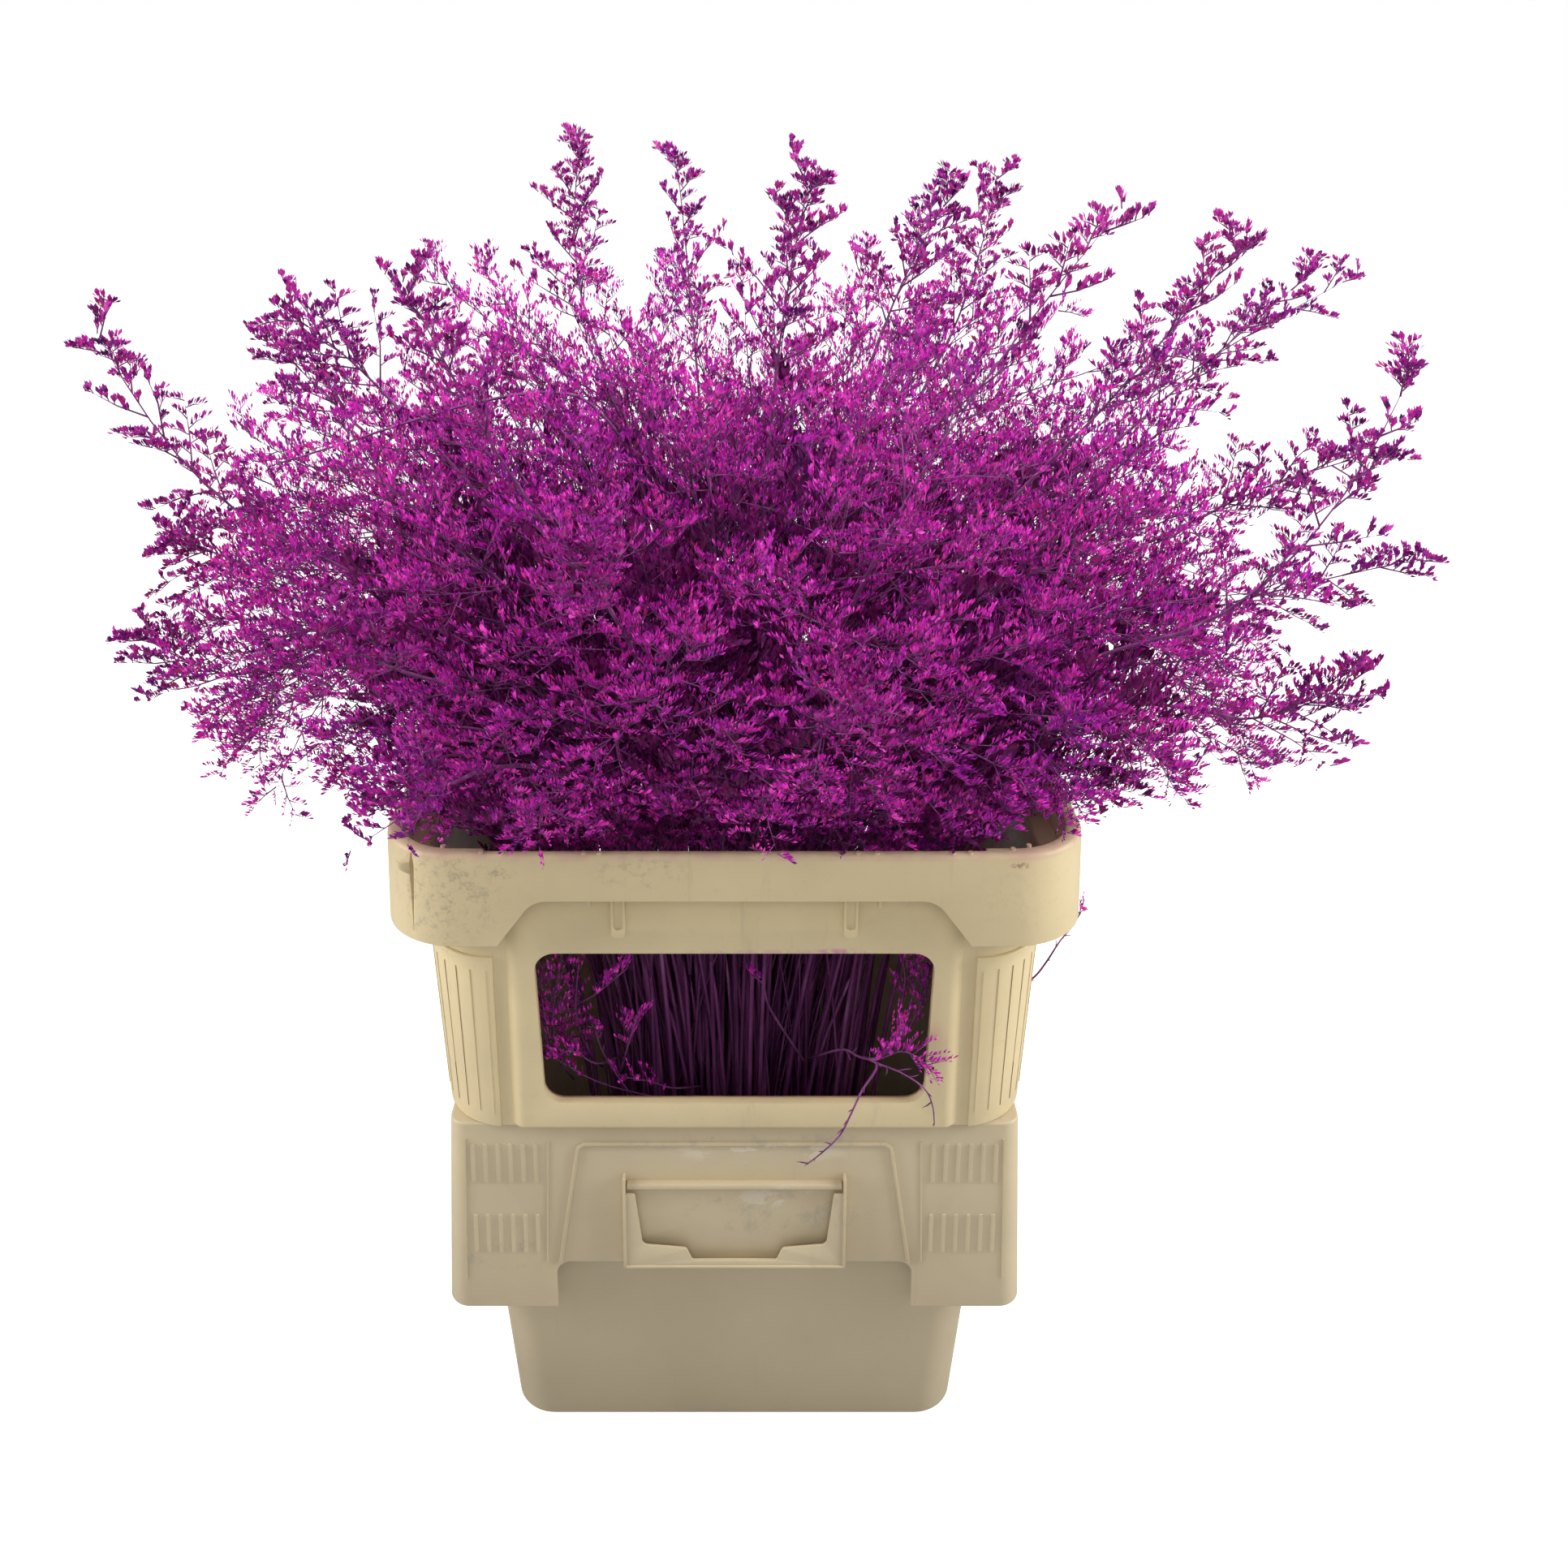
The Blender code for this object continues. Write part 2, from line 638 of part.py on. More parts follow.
def toothed_branch(name, path, room, whorls, collection):
    """A twig along a path of 0 to 1 that carries pointed florets: whorls of three, each turned from the last."""
    across = across_of(path(0.0), path(1.0))

    def ring_at(share, radius, spin):
        tangent = (path(share + 0.02) - path(share - 0.02)).normalized()
        return ring_round(path(share), tangent, across, radius, 3, spin)

    rings = [ring_at(0.0, TWIG_RADIUS, 0.0)]
    for k in range(whorls):
        tooth_at = (k + TOOTH_AT) / whorls
        size = min(TOOTH_REACH * (1.0 - 0.5 * k / whorls), TOOTH_CLEAR * room(tooth_at))
        spin = math.pi / 3 * (k + 1)
        rings.append(ring_at(tooth_at, max(size, TOOTH_LEAST), spin))
        rings.append(ring_at((k + NECK_AT) / whorls, TWIG_RADIUS, spin))
    rings.append(ring_at(1.0, TWIG_RADIUS * 0.4, spin + math.pi / 3))
    return tube_from_rings(name, rings, collection)


def tip_targets(sites):
    """Pairs each long tip with the stem whose own end comes nearest to it, the closest pairs first."""
    ends = [bush_point(*site, 1.15) for site in sites]
    pairs = []
    for index, end in enumerate(ends):
        for x, rise in LONG_TIPS:
            away = math.hypot(end.x - x, end.z - RIM_Z - rise) + 0.30 * abs(end.y)
            pairs.append((away, index, (x, rise)))
    taken = {}
    for _, index, tip in sorted(pairs):
        if index not in taken and tip not in taken.values():
            taken[index] = tip
    return {index: Vector((x, ends[index].y, RIM_Z + rise)) for index, (x, rise) in taken.items()}


def side_place(sites, index, angle, start, rise, fill):
    """Where a side twig runs in its cell: it leaves the axis, spreads and turns up. The place is (u, v, t)."""
    site = sites[index]
    reach = cell_reach(sites, index, angle) * fill

    def place(s):
        s = max(s, 0.0)
        out = reach * (1 - max(1 - s, 0.0) ** SIDE_SPREAD)
        return (site[0] + out * math.cos(angle), site[1] + out * math.sin(angle), start + rise * s**SIDE_RISE)

    return place


def tip_path(site, goal, reach):
    """The path of a stem's own end: on past the bush's surface, or towards its long tip."""
    begin = bush_point(*site, TIP_START)
    if goal is None:
        goal = bush_point(*site, 1.0 + reach)
    way = (bush_point(*site, 1.1) - bush_point(*site, 0.9)).normalized()
    ahead = begin + way * ((goal - begin).length * TIP_BOW)
    return lambda s: bend(begin, ahead, goal, s)


def make_stem(index, sites, targets, parts, dye):
    site = sites[index]
    draw = random.Random(SEED * 1000 + index)
    name = f"statice_stem_{index + 1:02d}"
    joints = sorted([start for start, _ in TWIGS] + [TIP_START, FORK_START])
    stalk = [bush_point(*site, t) for t in [-1.0, STALK_BEND] + joints]
    stem = bare_branch(name, stalk, STALK_RADIUS, 3, parts, flat_foot=True)
    stem.data.materials.append(dye)
    pieces = new_collection(name + "_pieces")
    fork = side_place(sites, index, draw.uniform(0, 2 * math.pi), FORK_START, FORK_RISE, FORK_FILL)
    bare_branch("fork", [bush_point(*fork(s / 3)) for s in range(4)], (FORK_RADIUS, FORK_RADIUS), 3, pieces)

    tip = tip_path(site, targets.get(index), draw.uniform(*TIP_REACH))
    toothed_branch("tip", tip, lambda s: room_round(sites, index, *site, TIP_START), TIP_WHORLS, pieces)

    first = draw.uniform(0, 2 * math.pi)
    for k, (start, rise) in enumerate(TWIGS):
        place = side_place(sites, index, first + k * TWIG_TURN, start, rise, CELL_FILL)

        def path(s, place=place):
            return bush_point(*place(s))

        def room(s, place=place):
            return room_round(sites, index, *place(s))

        toothed_branch("twig", path, room, TWIG_WHORLS, pieces)
    join_all(stem, pieces, solver="MANIFOLD")
    keep_outer_shell(stem)


def main():
    clear_scene()
    parts = new_collection("dried_statice")
    cutters = new_collection("cutters")
    bucket_plastic = new_material("bucket_plastic", (0.61, 0.53, 0.35), 0.42)
    collar_plastic = new_material("collar_plastic", (0.66, 0.57, 0.37), 0.40)
    dye = new_material("dyed_statice", (0.33, 0.012, 0.29), 0.80)
    make_bucket(parts, cutters, bucket_plastic)
    make_collar(parts, cutters, collar_plastic)
    sites = disc_sites()
    targets = tip_targets(sites)
    for index in range(STEMS):
        make_stem(index, sites, targets, parts, dye)


main()
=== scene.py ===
"""Looks of the dried statice: a dyed, branching bunch in an ivory plastic bucket with a windowed collar.

Metres, +Z up, the front faces -Y, as in the CAD. Each stem's detailed piece follows the same rule as
its solid: a place in a unit disc, carried from the bucket's floor through the collar's mouth and out.
"""

import math
import random
from itertools import product

import bmesh
import bpy
import numpy as np
from mathutils import Matrix, Vector


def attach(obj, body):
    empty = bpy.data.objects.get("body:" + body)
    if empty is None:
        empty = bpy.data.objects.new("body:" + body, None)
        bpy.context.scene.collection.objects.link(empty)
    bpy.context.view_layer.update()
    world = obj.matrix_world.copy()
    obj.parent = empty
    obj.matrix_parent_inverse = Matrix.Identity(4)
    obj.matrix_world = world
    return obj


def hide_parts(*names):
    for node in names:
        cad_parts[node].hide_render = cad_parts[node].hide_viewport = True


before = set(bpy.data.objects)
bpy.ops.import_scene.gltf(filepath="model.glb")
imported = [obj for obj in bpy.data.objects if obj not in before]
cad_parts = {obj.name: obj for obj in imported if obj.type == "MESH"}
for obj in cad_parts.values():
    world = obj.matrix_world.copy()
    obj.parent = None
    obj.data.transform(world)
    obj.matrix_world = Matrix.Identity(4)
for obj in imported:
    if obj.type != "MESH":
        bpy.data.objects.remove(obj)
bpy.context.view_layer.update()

# Sizes that the CAD has too
GAP = 0.0003
BUCKET_HEIGHT = 0.285
BUCKET_HALF = (0.200, 0.150)
BUCKET_BASE_HALF = (0.168, 0.120)
PLASTIC = 0.003
SKIRT_DEPTH = 0.150
SKIRT_FLARE = 0.0065
CUT_AWAY_DEPTH = 0.1125
CUT_AWAY_HALF = 0.127
COLLAR_HEIGHT = 0.225
COLLAR_FOOT_HALF = (0.202, 0.152)
COLLAR_CORNER = 0.045
COLLAR_TAPER = 0.0085
RIM_HALF = (0.2315, 0.1815)
RIM_CORNER = 0.050
RIM_FLARE = 0.0015
RIM_BAND = 0.026
RIM_SKIRT = 0.0645
RIM_HANDHOLD = 0.0325
HANDHOLD_HALF = (0.130, 0.154)
PANEL_HALF = 0.152
PANEL_RAISE = 0.005
WINDOW_LOW = 0.022
WINDOW_HIGH = 0.1425
WINDOW_HALF = (0.1305, 0.134)
WINDOW_CORNER = 0.014
PAD_START = 0.162
PAD_HEIGHT = 0.137
PAD_RAISE = 0.0025
COLLAR_WALL = COLLAR_HEIGHT - RIM_BAND - 0.003

# Finer parts of the holder: lines on the skirt (height, then the x and z of both ends) and its ribs, tabs
# and pins on the panels, the crack in the left corner, and the angle from which an edge stays sharp
SKIRT_LINES = [(0.0008, 0.1300, -0.0140, 0.1328, -0.1115), (0.0010, 0.1880, -0.0120, 0.1913, -0.1260)]
LINE_WIDTH = 0.0012
RIBS = 6
RIB_START = 0.1395
RIB_STEP = 0.0088
TAB_X = 0.0762
TAB_HEIGHT = 0.175
PIN_BESIDE = 0.0190
CRACK_PLACE = (-0.2080, -0.1739)
CRACK_ANGLE = math.radians(238)
SHARP_ANGLE = math.radians(38)

# How the stems and the bush are laid out
STEMS = 29
SEED = 7
FOOT_HALF = (0.080, 0.060)
MOUTH_HALF = (0.188, 0.138)
MOUTH_RISE = 0.015
MOUTH_LEAN = math.radians(50)
LOWER_PULL = 0.16
UPPER_PULL = 0.12
BUSH_HALF = (0.385, 0.255)
BUSH_MIDDLE = 0.100
BUSH_RISE = 0.262
BUSH_ANGLE = math.radians(105)
FRONT_LESS = math.radians(10)
BUSH_SQUARE = 2.6
SPREAD_CENTRE = -0.12
BEYOND = 0.30
SITE_REACH = 0.985
SITE_WOBBLE = 0.16
SWELL_POWER = 0.8
DOME_POWER = 0.9
NEAREST_TIP = 1.03
SIDE_COST = 0.30
TIP_START = 0.90
LONG_TIPS = [
    (-0.446, 0.306), (-0.310, 0.320), (-0.230, 0.342), (-0.112, 0.430), (-0.046, 0.421), (0.052, 0.417),
    (0.148, 0.402), (0.196, 0.408), (0.265, 0.392), (0.352, 0.372), (0.405, 0.345), (0.500, 0.328),
    (0.480, 0.285), (0.462, 0.220), (0.498, 0.140), (0.462, 0.045), (-0.436, 0.080), (-0.405, 0.155),
]

RIM_Z = BUCKET_HEIGHT + COLLAR_HEIGHT
FLOOR_Z = PLASTIC
BASE_Z = BUCKET_HEIGHT + GAP

# Small holes, drawn as flush discs with painted shade, and studs on the rim's top: x, y
RIM_HOLES = [(-0.2215, -0.118), (-0.2180, -0.133), (-0.1980, -0.163), (0.2120, -0.1500)]
RIM_STUDS = [
    (-0.1880, -0.170), (-0.1620, -0.1775), (-0.1490, -0.1785), (0.1510, -0.1785), (0.1790, -0.1735),
    (0.1900, -0.1690), *((x, -0.1787) for x in (-0.0965, -0.0865, 0.0190, 0.0310, 0.0790, 0.0910, 0.1400)),
]

# How full the visible bunch is
STALKS = 2
BARE_STALKS = 12
CLOUDS = 64
CLOUD_DEPTH = 0.20
SIDES = {"surface": 328, "rim": 130, "edge": 108, "inner": 134, "low": 140}
RIM_ROWS = [(1.00, 0.06), (0.97, 0.14), (1.16, 0.24), (1.08, 0.40)]
EDGE_ROWS = [(1.12, -0.02), (1.04, -0.14), (0.98, -0.26)]
CORNER_REACH = 0.26
CORNER_ENDS = 10
# Material slots; the third holds a darker copy of the floret material, painted shade for the inside and
# lower part of the bush
BARK, FLORET, DEEP_SHADE, TIP = range(4)
# Kinds of side branches: how far their twigs reach, how many twigs, combs and florets, the florets' size and
# material, and how far under its end (in t) a branch leaves its stalk
KEYS = ("reach", "subs", "combs", "florets", "scale", "slot", "under")
LOOKS = {kind: dict(zip(KEYS, look)) for kind, look in {
    "surface": (0.046, 9, 5, 8, 0.96, FLORET, (0.26, 0.40)),
    "rim": (0.034, 7, 5, 8, 0.96, FLORET, (0.20, 0.32)),
    "edge": (0.022, 7, 4, 7, 1.0, FLORET, (0.12, 0.20)),
    "inner": (0.060, 6, 4, 7, 2.3, DEEP_SHADE, (0.24, 0.34)),
    "low": (0.042, 6, 4, 7, 1.7, DEEP_SHADE, (0.18, 0.28)),
}.items()}
TIP_LOOK = dict(zip(KEYS, (0.052, 14, 7, 9, 1.05, TIP)))
COMB_SHARE = {FLORET: 0.31, DEEP_SHADE: 0.36, TIP: 0.18}
TIP_BREADTH = 1.25
FLORET_SIZE = (0.0062, 0.0020)
BUD_SHARE = 0.16
FOOT_SPREAD = 1.15
SIDE_PULL = 0.07

# Twigs and florets: radii of stalks and combs (foot, tip), openings between a twig and its parent
MAIN_STALK = (0.0027, 0.0012)
SIDE_STALK = (0.0021, 0.0009)
COMB_RADIUS = 0.00045
TWIG_OPENING = (0.55, 0.95)
COMB_OPENING = (0.65, 1.15)
TWIG_TURN = math.radians(137.5)
BUD_WIDTH = 0.46
BUD_FOOT = 0.20
BLADE_WIDEST = 0.64
BLADE_FOLD = 0.20

# The camera's place, and angles and directions for all
VIEW_AWAY = 1.0277
VIEW_RISE = 0.4688
VIEW_DOWN = math.radians(15.5)
GOLDEN = math.pi * (3 - math.sqrt(5))
ROUND = 2 * math.pi
UP = np.array((0.0, 0.0, 1.0))

# Single twigs: stem, radius, combs (first, last, number), the combs' length, the number of bare twigs, and
# places in millimetres (x, y, height over the joint)
EXTRA_TWIGS = [
    (19, 0.0011, (0, 0, 0), 0, 16, [(55, -85, 5), (76, -120, 38), (86, -140, 47), (97, -162, 56),
        (86, -172, 43), (78, -176, 26), (71, -178, 12), (59, -180, 0), (47, -181, -10)]),
    (19, 0.0009, (0, 0, 0), 0, 9, [(90, -145, 50), (100, -163, 57), (113, -172, 57), (127, -178, 50),
        (133, -180, 38), (135, -180, 21)]),
    (19, 0.0008, (0.25, 1, 18), 0.019, 0, [(88, -142, 48), (97, -160, 59), (111, -168, 71),
        (122, -172, 70), (130, -175, 64)]),
    (19, 0.0008, (0.3, 1, 15), 0.019, 0, [(90, -146, 50), (99, -162, 62), (107, -166, 76), (113, -167, 86)]),
    (19, 0.0012, (0.86, 1, 5), 0.009, 0, [(52, -90, 5), (26, -105, 60), (20, -122, 92), (12, -132, 106)]),
    (21, 0.001, (0.35, 1, 12), 0.016, 0, [(-120, -95, 55), (-99, -130, 88), (-84, -135, 104),
        (-72, -140, 118)]),
    (21, 0.001, (0.45, 1, 11), 0.015, 0, [(-84, -95, 0), (-78, -120, 33), (-72, -130, 59), (-68, -135, 75)]),
    (21, 0.0009, (0.5, 1, 8), 0.01, 0, [(-85, -90, 10), (-98, -125, 30), (-114, -130, 44),
        (-128, -133, 41)]),
    (21, 0.0009, (0.7, 1, 5), 0.008, 4, [(-58, -90, -25), (-96, -122, 12), (-124, -130, 36)]),
    (21, 0.001, (0.9, 1, 3), 0.008, 5, [(-70, -95, -30), (-92, -118, 30), (-99, -125, 62)]),
    (21, 0.0009, (0.45, 1, 8), 0.012, 0, [(-25, -90, -15), (-44, -120, 6), (-60, -130, 19),
        (-80, -135, 27)]),
    (21, 0.001, (0.25, 1, 16), 0.018, 0, [(-118, -95, -5), (-128, -120, 35), (-134, -126, 75),
        (-134, -130, 112)]),
    (27, 0.001, (0.35, 1, 12), 0.016, 0, [(110, -85, 10), (122, -112, 45), (132, -122, 80),
        (136, -124, 108)]),
    (21, 0.001, (0.15, 1, 20), 0.02, 0, [(-130, -100, 20), (-128, -120, 70), (-118, -125, 125)]),
    (21, 0.001, (0.2, 1, 18), 0.019, 0, [(-105, -90, 10), (-113, -110, 60), (-107, -115, 128)]),
    (21, 0.001, (0.3, 1, 14), 0.018, 0, [(-100, -60, -20), (-120, -95, 20), (-131, -112, 62)]),
    (27, 0.001, (0.1, 1, 16), 0.019, 0, [(135, -100, 60), (132, -115, 100), (124, -118, 128)]),
    (27, 0.001, (0.25, 1, 14), 0.018, 0, [(118, -95, 40), (121, -110, 90), (112, -115, 125)]),
    (25, 0.0016, (0.9, 1, 9), 0.013, 12, [(95, 120, 60), (130, 162, 75), (200, 178, -20), (240, 172, -80),
        (262, 162, -97), (275, 160, -87), (284, 155, -68), (293, 150, -45), (303, 150, -30),
        (312, 150, -12)]),
    (8, 0.0014, (0.9, 1, 4), 0.01, 10, [(-40, -10, 330), (-70, -50, 450), (-94, -70, 494),
        (-117, -100, 509), (-155, -120, 508), (-194, -130, 499), (-246, -130, 482), (-296, -120, 465)]),
]

scene = bpy.context.scene


def linked(name, data):
    """A new object in the scene."""
    obj = bpy.data.objects.new(name, data)
    scene.collection.objects.link(obj)
    return obj


# Camera and light

camera = bpy.data.cameras.new("camera")
camera.sensor_width = 36.0
camera.lens = 33.91
camera.shift_x = 0.0316
camera.shift_y = -0.180
camera.clip_end = 50.0
eye = linked("camera", camera)
eye.location = (0.0, -VIEW_AWAY, RIM_Z + VIEW_RISE)
eye.rotation_euler = (math.pi / 2 - VIEW_DOWN, 0.0, 0.0)
scene.camera = eye

# Lights: name, place, height that they face, width and height, power
for name, place, faced, size, power in (
    ("left", (-2.6, -0.45, 1.6), 0.55, (1.3, 1.8), 70.0),
    ("right", (2.6, -0.45, 1.6), 0.55, (1.3, 1.8), 80.0),
    ("front", (0.0, -2.6, 2.0), 0.45, (2.2, 1.2), 17.5),
    ("top", (0.1, -0.3, 3.0), 0.6, (1.8, 1.4), 52.0),
):
    light = bpy.data.lights.new(name, "AREA")
    light.shape = "RECTANGLE"
    light.size, light.size_y = size
    light.energy = power
    lamp = linked(name, light)
    lamp.location = place
    lamp.rotation_euler = (Vector((0, 0, faced)) - lamp.location).to_track_quat("-Z", "Y").to_euler()

WORLD_LIGHT = 0.36
world = bpy.data.worlds.new("studio")
world.use_nodes = True
backdrop = world.node_tree.nodes["Background"]
backdrop.inputs["Color"].default_value = (1.0, 1.0, 1.0, 1.0)
seen = world.node_tree.nodes.new("ShaderNodeLightPath")
level = world.node_tree.nodes.new("ShaderNodeMapRange")
world.node_tree.links.new(seen.outputs["Is Camera Ray"], level.inputs["Value"])
level.inputs["To Min"].default_value = WORLD_LIGHT
world.node_tree.links.new(level.outputs[0], backdrop.inputs["Strength"])
scene.world = world
scene.view_settings.view_transform = "Standard"


# Materials


class Nodes:
    """A short hand for a material's nodes: each call makes one, sets its inputs and returns its output."""

    def __init__(self, name):
        self.material = bpy.data.materials.new(name)
        self.material.use_nodes = True
        self.tree = self.material.node_tree
        self.shader = self.tree.nodes["Principled BSDF"]

    def put(self, node, values):
        for key, value in values.items():
            if isinstance(value, bpy.types.NodeSocket):
                self.tree.links.new(value, node.inputs[key])
            else:
                node.inputs[key].default_value = value

    def set(self, **values):
        self.put(self.shader, {key.replace("_", " "): value for key, value in values.items()})

    def node(self, kind, values, **settings):
        node = self.tree.nodes.new("ShaderNode" + kind)
        for key, setting in settings.items():
            setattr(node, key, setting)
        self.put(node, values)
        return node

    def place(self, output="Object"):
        return self.node("TexCoord", {}).outputs[output]

    def axis(self, index, output="Object"):
        return self.node("SeparateXYZ", {"Vector": self.place(output)}).outputs[index]

    def math(self, operation, a, b=0.0):
        return self.node("Math", {0: a, 1: b}, operation=operation).outputs[0]

    def times(self, a, b):
        return self.math("MULTIPLY", a, b)

    def minus(self, a, b):
        return self.math("SUBTRACT", a, b)

    def noise(self, scale, detail=3.0, rough=0.55, stretch=None):
        where = self.place()
        if stretch:
            where = self.node("Mapping", {"Vector": where, "Scale": stretch}).outputs[0]
        values = {"Vector": where, "Scale": scale, "Detail": detail, "Roughness": rough}
        return self.node("TexNoise", values).outputs["Fac"]

    def cells(self, scale):
        cell = self.node("TexVoronoi", {"Vector": self.place(), "Scale": scale})
        return self.node("SeparateColor", {"Color": cell.outputs["Color"]}).outputs[:2]

    def ramp(self, value, stops):
        node = self.node("ValToRGB", {"Fac": value})
        elements = node.color_ramp.elements
        while len(elements) < len(stops):
            elements.new(0.5)
        for element, (at, colour) in zip(elements, stops):
            element.position = at
            element.color = (*colour, 1.0)
        return node.outputs["Color"]

    def mix(self, factor, a, b):
        a, b = (colour if isinstance(colour, bpy.types.NodeSocket) else (*colour, 1.0) for colour in (a, b))
        return self.node("Mix", {0: factor, 6: a, 7: b}, data_type="RGBA").outputs[2]

    def between(self, value, low, high, to_low=0.0, to_high=1.0):
        values = {"Value": value, "From Min": low, "From Max": high, "To Min": to_low, "To Max": to_high}
        return self.node("MapRange", values, interpolation_type="SMOOTHSTEP").outputs[0]

    def spot(self, centre, radii, soft):
        """1 inside an ellipsoid, falling to 0 past its edge."""
        total = 0.0
        for k in range(3):
            step = self.math("DIVIDE", self.minus(self.axis(k), centre[k]), radii[k])
            total = self.math("ADD", self.times(step, step), total)
        return self.between(total, 1.0 + soft, 1.0 - soft)

    def cover(self, colour, tone, pattern, soft, spots):
        """A colour with a tone over it in spots (centre, radii, depth) that a pattern breaks up."""
        for centre, radii, depth in spots:
            mask = self.times(self.spot(centre, radii, soft), pattern)
            colour = self.mix(self.times(mask, depth), colour, tone)
        return colour


def ivory_plastic(name, tone):
    """Used, slightly yellowed plastic: cloudy colour, fine wear and upright scratches."""
    n = Nodes(name)
    dark, light = (tuple(c * level for c in tone) for level in (0.93, 1.05))
    colour = n.ramp(n.noise(9.0, 4.0, 0.6), [(0.30, dark), (0.70, light)])
    colour = n.mix(n.between(n.noise(160.0, 5.0, 0.7), 0.56, 0.78, 0.0, 0.20), colour, (0.42, 0.34, 0.20))
    scratch = n.noise(60.0, 6.0, 0.65, stretch=(1.0, 1.0, 0.12))
    colour = n.mix(n.between(scratch, 0.60, 0.74, 0.0, 0.22), colour, (0.36, 0.31, 0.21))
    n.set(Roughness=n.between(n.noise(35.0, 4.0), 0.3, 0.7, 0.34, 0.50), Specular_IOR_Level=0.45)
    grain = n.node("Bump", {"Height": n.noise(420.0, 2.0), "Strength": 0.06, "Distance": 0.0006})
    n.set(Normal=grain.outputs[0])
    return n, colour


def bucket_material():
    """Ivory plastic with a painted shadow under the collar's edge, broken into specks, dirt lower down and
    on the left, and pale residue round the label clip.
    """
    n, colour = ivory_plastic("ivory_bucket", (0.555, 0.460, 0.300))
    speck = n.between(n.noise(75.0, 6.0, 0.75), 0.50, 0.62)
    colour = n.cover(colour, (0.42, 0.37, 0.28), speck, 0.35, [
        # Painted shadow: a darker band just under the collar's overhanging edge, broken into specks
        ((0.020, -0.157, 0.270), (0.100, 0.012, 0.009), 0.75),
        ((0.030, -0.160, 0.215), (0.075, 0.014, 0.020), 0.60),
        ((-0.165, -0.158, 0.180), (0.030, 0.012, 0.014), 0.65),
    ])
    flake = n.between(n.noise(38.0, 5.0, 0.6, stretch=(1.0, 1.0, 2.2)), 0.52, 0.56)
    colour = n.cover(colour, (0.72, 0.66, 0.54), flake, 0.7, [
        ((0.018, -0.157, 0.262), (0.060, 0.014, 0.008), 0.5),
        ((0.034, -0.163, 0.226), (0.052, 0.014, 0.013), 0.5),
    ])
    n.set(Base_Color=colour)
    return n.material


def collar_material():
    """Ivory plastic with scuffs, mainly at the left, a red mark, dye on the rim, and painted shade on the
    inner wall, brown and darker further below the rim.
    """
    n, colour = ivory_plastic("ivory_collar", (0.71, 0.58, 0.34))
    speck = n.between(n.noise(150.0, 7.0, 0.8), 0.48, 0.64)
    colour = n.cover(colour, (0.33, 0.28, 0.20), speck, 0.7, [
        ((-0.188, -0.176, 0.482), (0.036, 0.024, 0.032), 0.55),
        ((-0.150, -0.184, 0.500), (0.010, 0.008, 0.007), 0.75),
        ((-0.060, -0.184, 0.498), (0.030, 0.008, 0.011), 0.45),
        ((0.184, -0.176, 0.480), (0.030, 0.020, 0.022), 0.12),
    ])
    mark = n.between(n.noise(420.0), 0.42, 0.56)
    place = ((0.183, -0.180, 0.503), (0.006, 0.012, 0.0022), 0.6)
    colour = n.cover(colour, (0.26, 0.10, 0.07), mark, 0.8, [place])
    top = n.between(n.axis(2), RIM_Z - 0.006, RIM_Z - 0.0005)
    dye = n.times(top, n.between(n.noise(45.0, 4.0), 0.35, 0.65, 0.15, 0.85))
    colour = n.mix(n.times(dye, 0.55), colour, (0.50, 0.24, 0.25))
    colour = n.cover(colour, (0.62, 0.22, 0.42), n.between(n.noise(190.0), 0.35, 0.60), 0.8, [
        ((0.069, -0.164, 0.4290), (0.016, 0.012, 0.0026), 0.75),
        ((0.030, -0.164, 0.4290), (0.060, 0.012, 0.0016), 0.35),
    ])
    # Painted shade: the inner wall is mixed towards dark brown, more so further below the rim
    depth = n.between(n.axis(2), RIM_Z - 0.020, RIM_Z - 0.040, 0.0, 0.85)
    brown = n.ramp(n.noise(14.0), [(0.35, (0.22, 0.080, 0.050)), (0.65, (0.46, 0.200, 0.120))])
    n.set(Base_Color=n.mix(n.times(inner_wall(n), depth), colour, brown))
    return n.material


def inner_wall(n):
    """1 on the collar's inner wall: within the outer faces, and facing the middle."""
    taper = n.times(n.minus(n.axis(2), BASE_Z), COLLAR_TAPER / (COLLAR_HEIGHT - RIM_BAND))
    inside, faced = 1.0, 0.0
    for axis, half in enumerate(COLLAR_FOOT_HALF):
        past = n.minus(n.minus(n.math("ABSOLUTE", n.axis(axis)), taper), half - 0.0015)
        inside = n.times(n.math("LESS_THAN", past, 0.0), inside)
        faced = n.math("ADD", n.times(n.axis(axis), n.axis(axis, "Normal")), faced)
    return n.times(inside, n.math("LESS_THAN", faced, -0.02))


# Painted shade with a dye tint: the rim's small holes are flush discs coloured dark brown, as a hole in
# shade looks
def hole_material():
    n = Nodes("hole_shade_and_dye")
    n.set(Base_Color=n.mix(n.noise(300.0), (0.10, 0.03, 0.025), (0.30, 0.12, 0.10)), Roughness=0.8)
    return n.material


def bark_material():
    n = Nodes("statice_bark")
    streak = n.noise(90.0, 4.0, 0.6, stretch=(1.0, 1.0, 0.15))
    shades = [(0.30, (0.100, 0.014, 0.098)), (0.55, (0.220, 0.045, 0.195)), (0.75, (0.36, 0.13, 0.32))]
    n.set(Base_Color=n.ramp(streak, shades), Roughness=0.75)
    return n.material


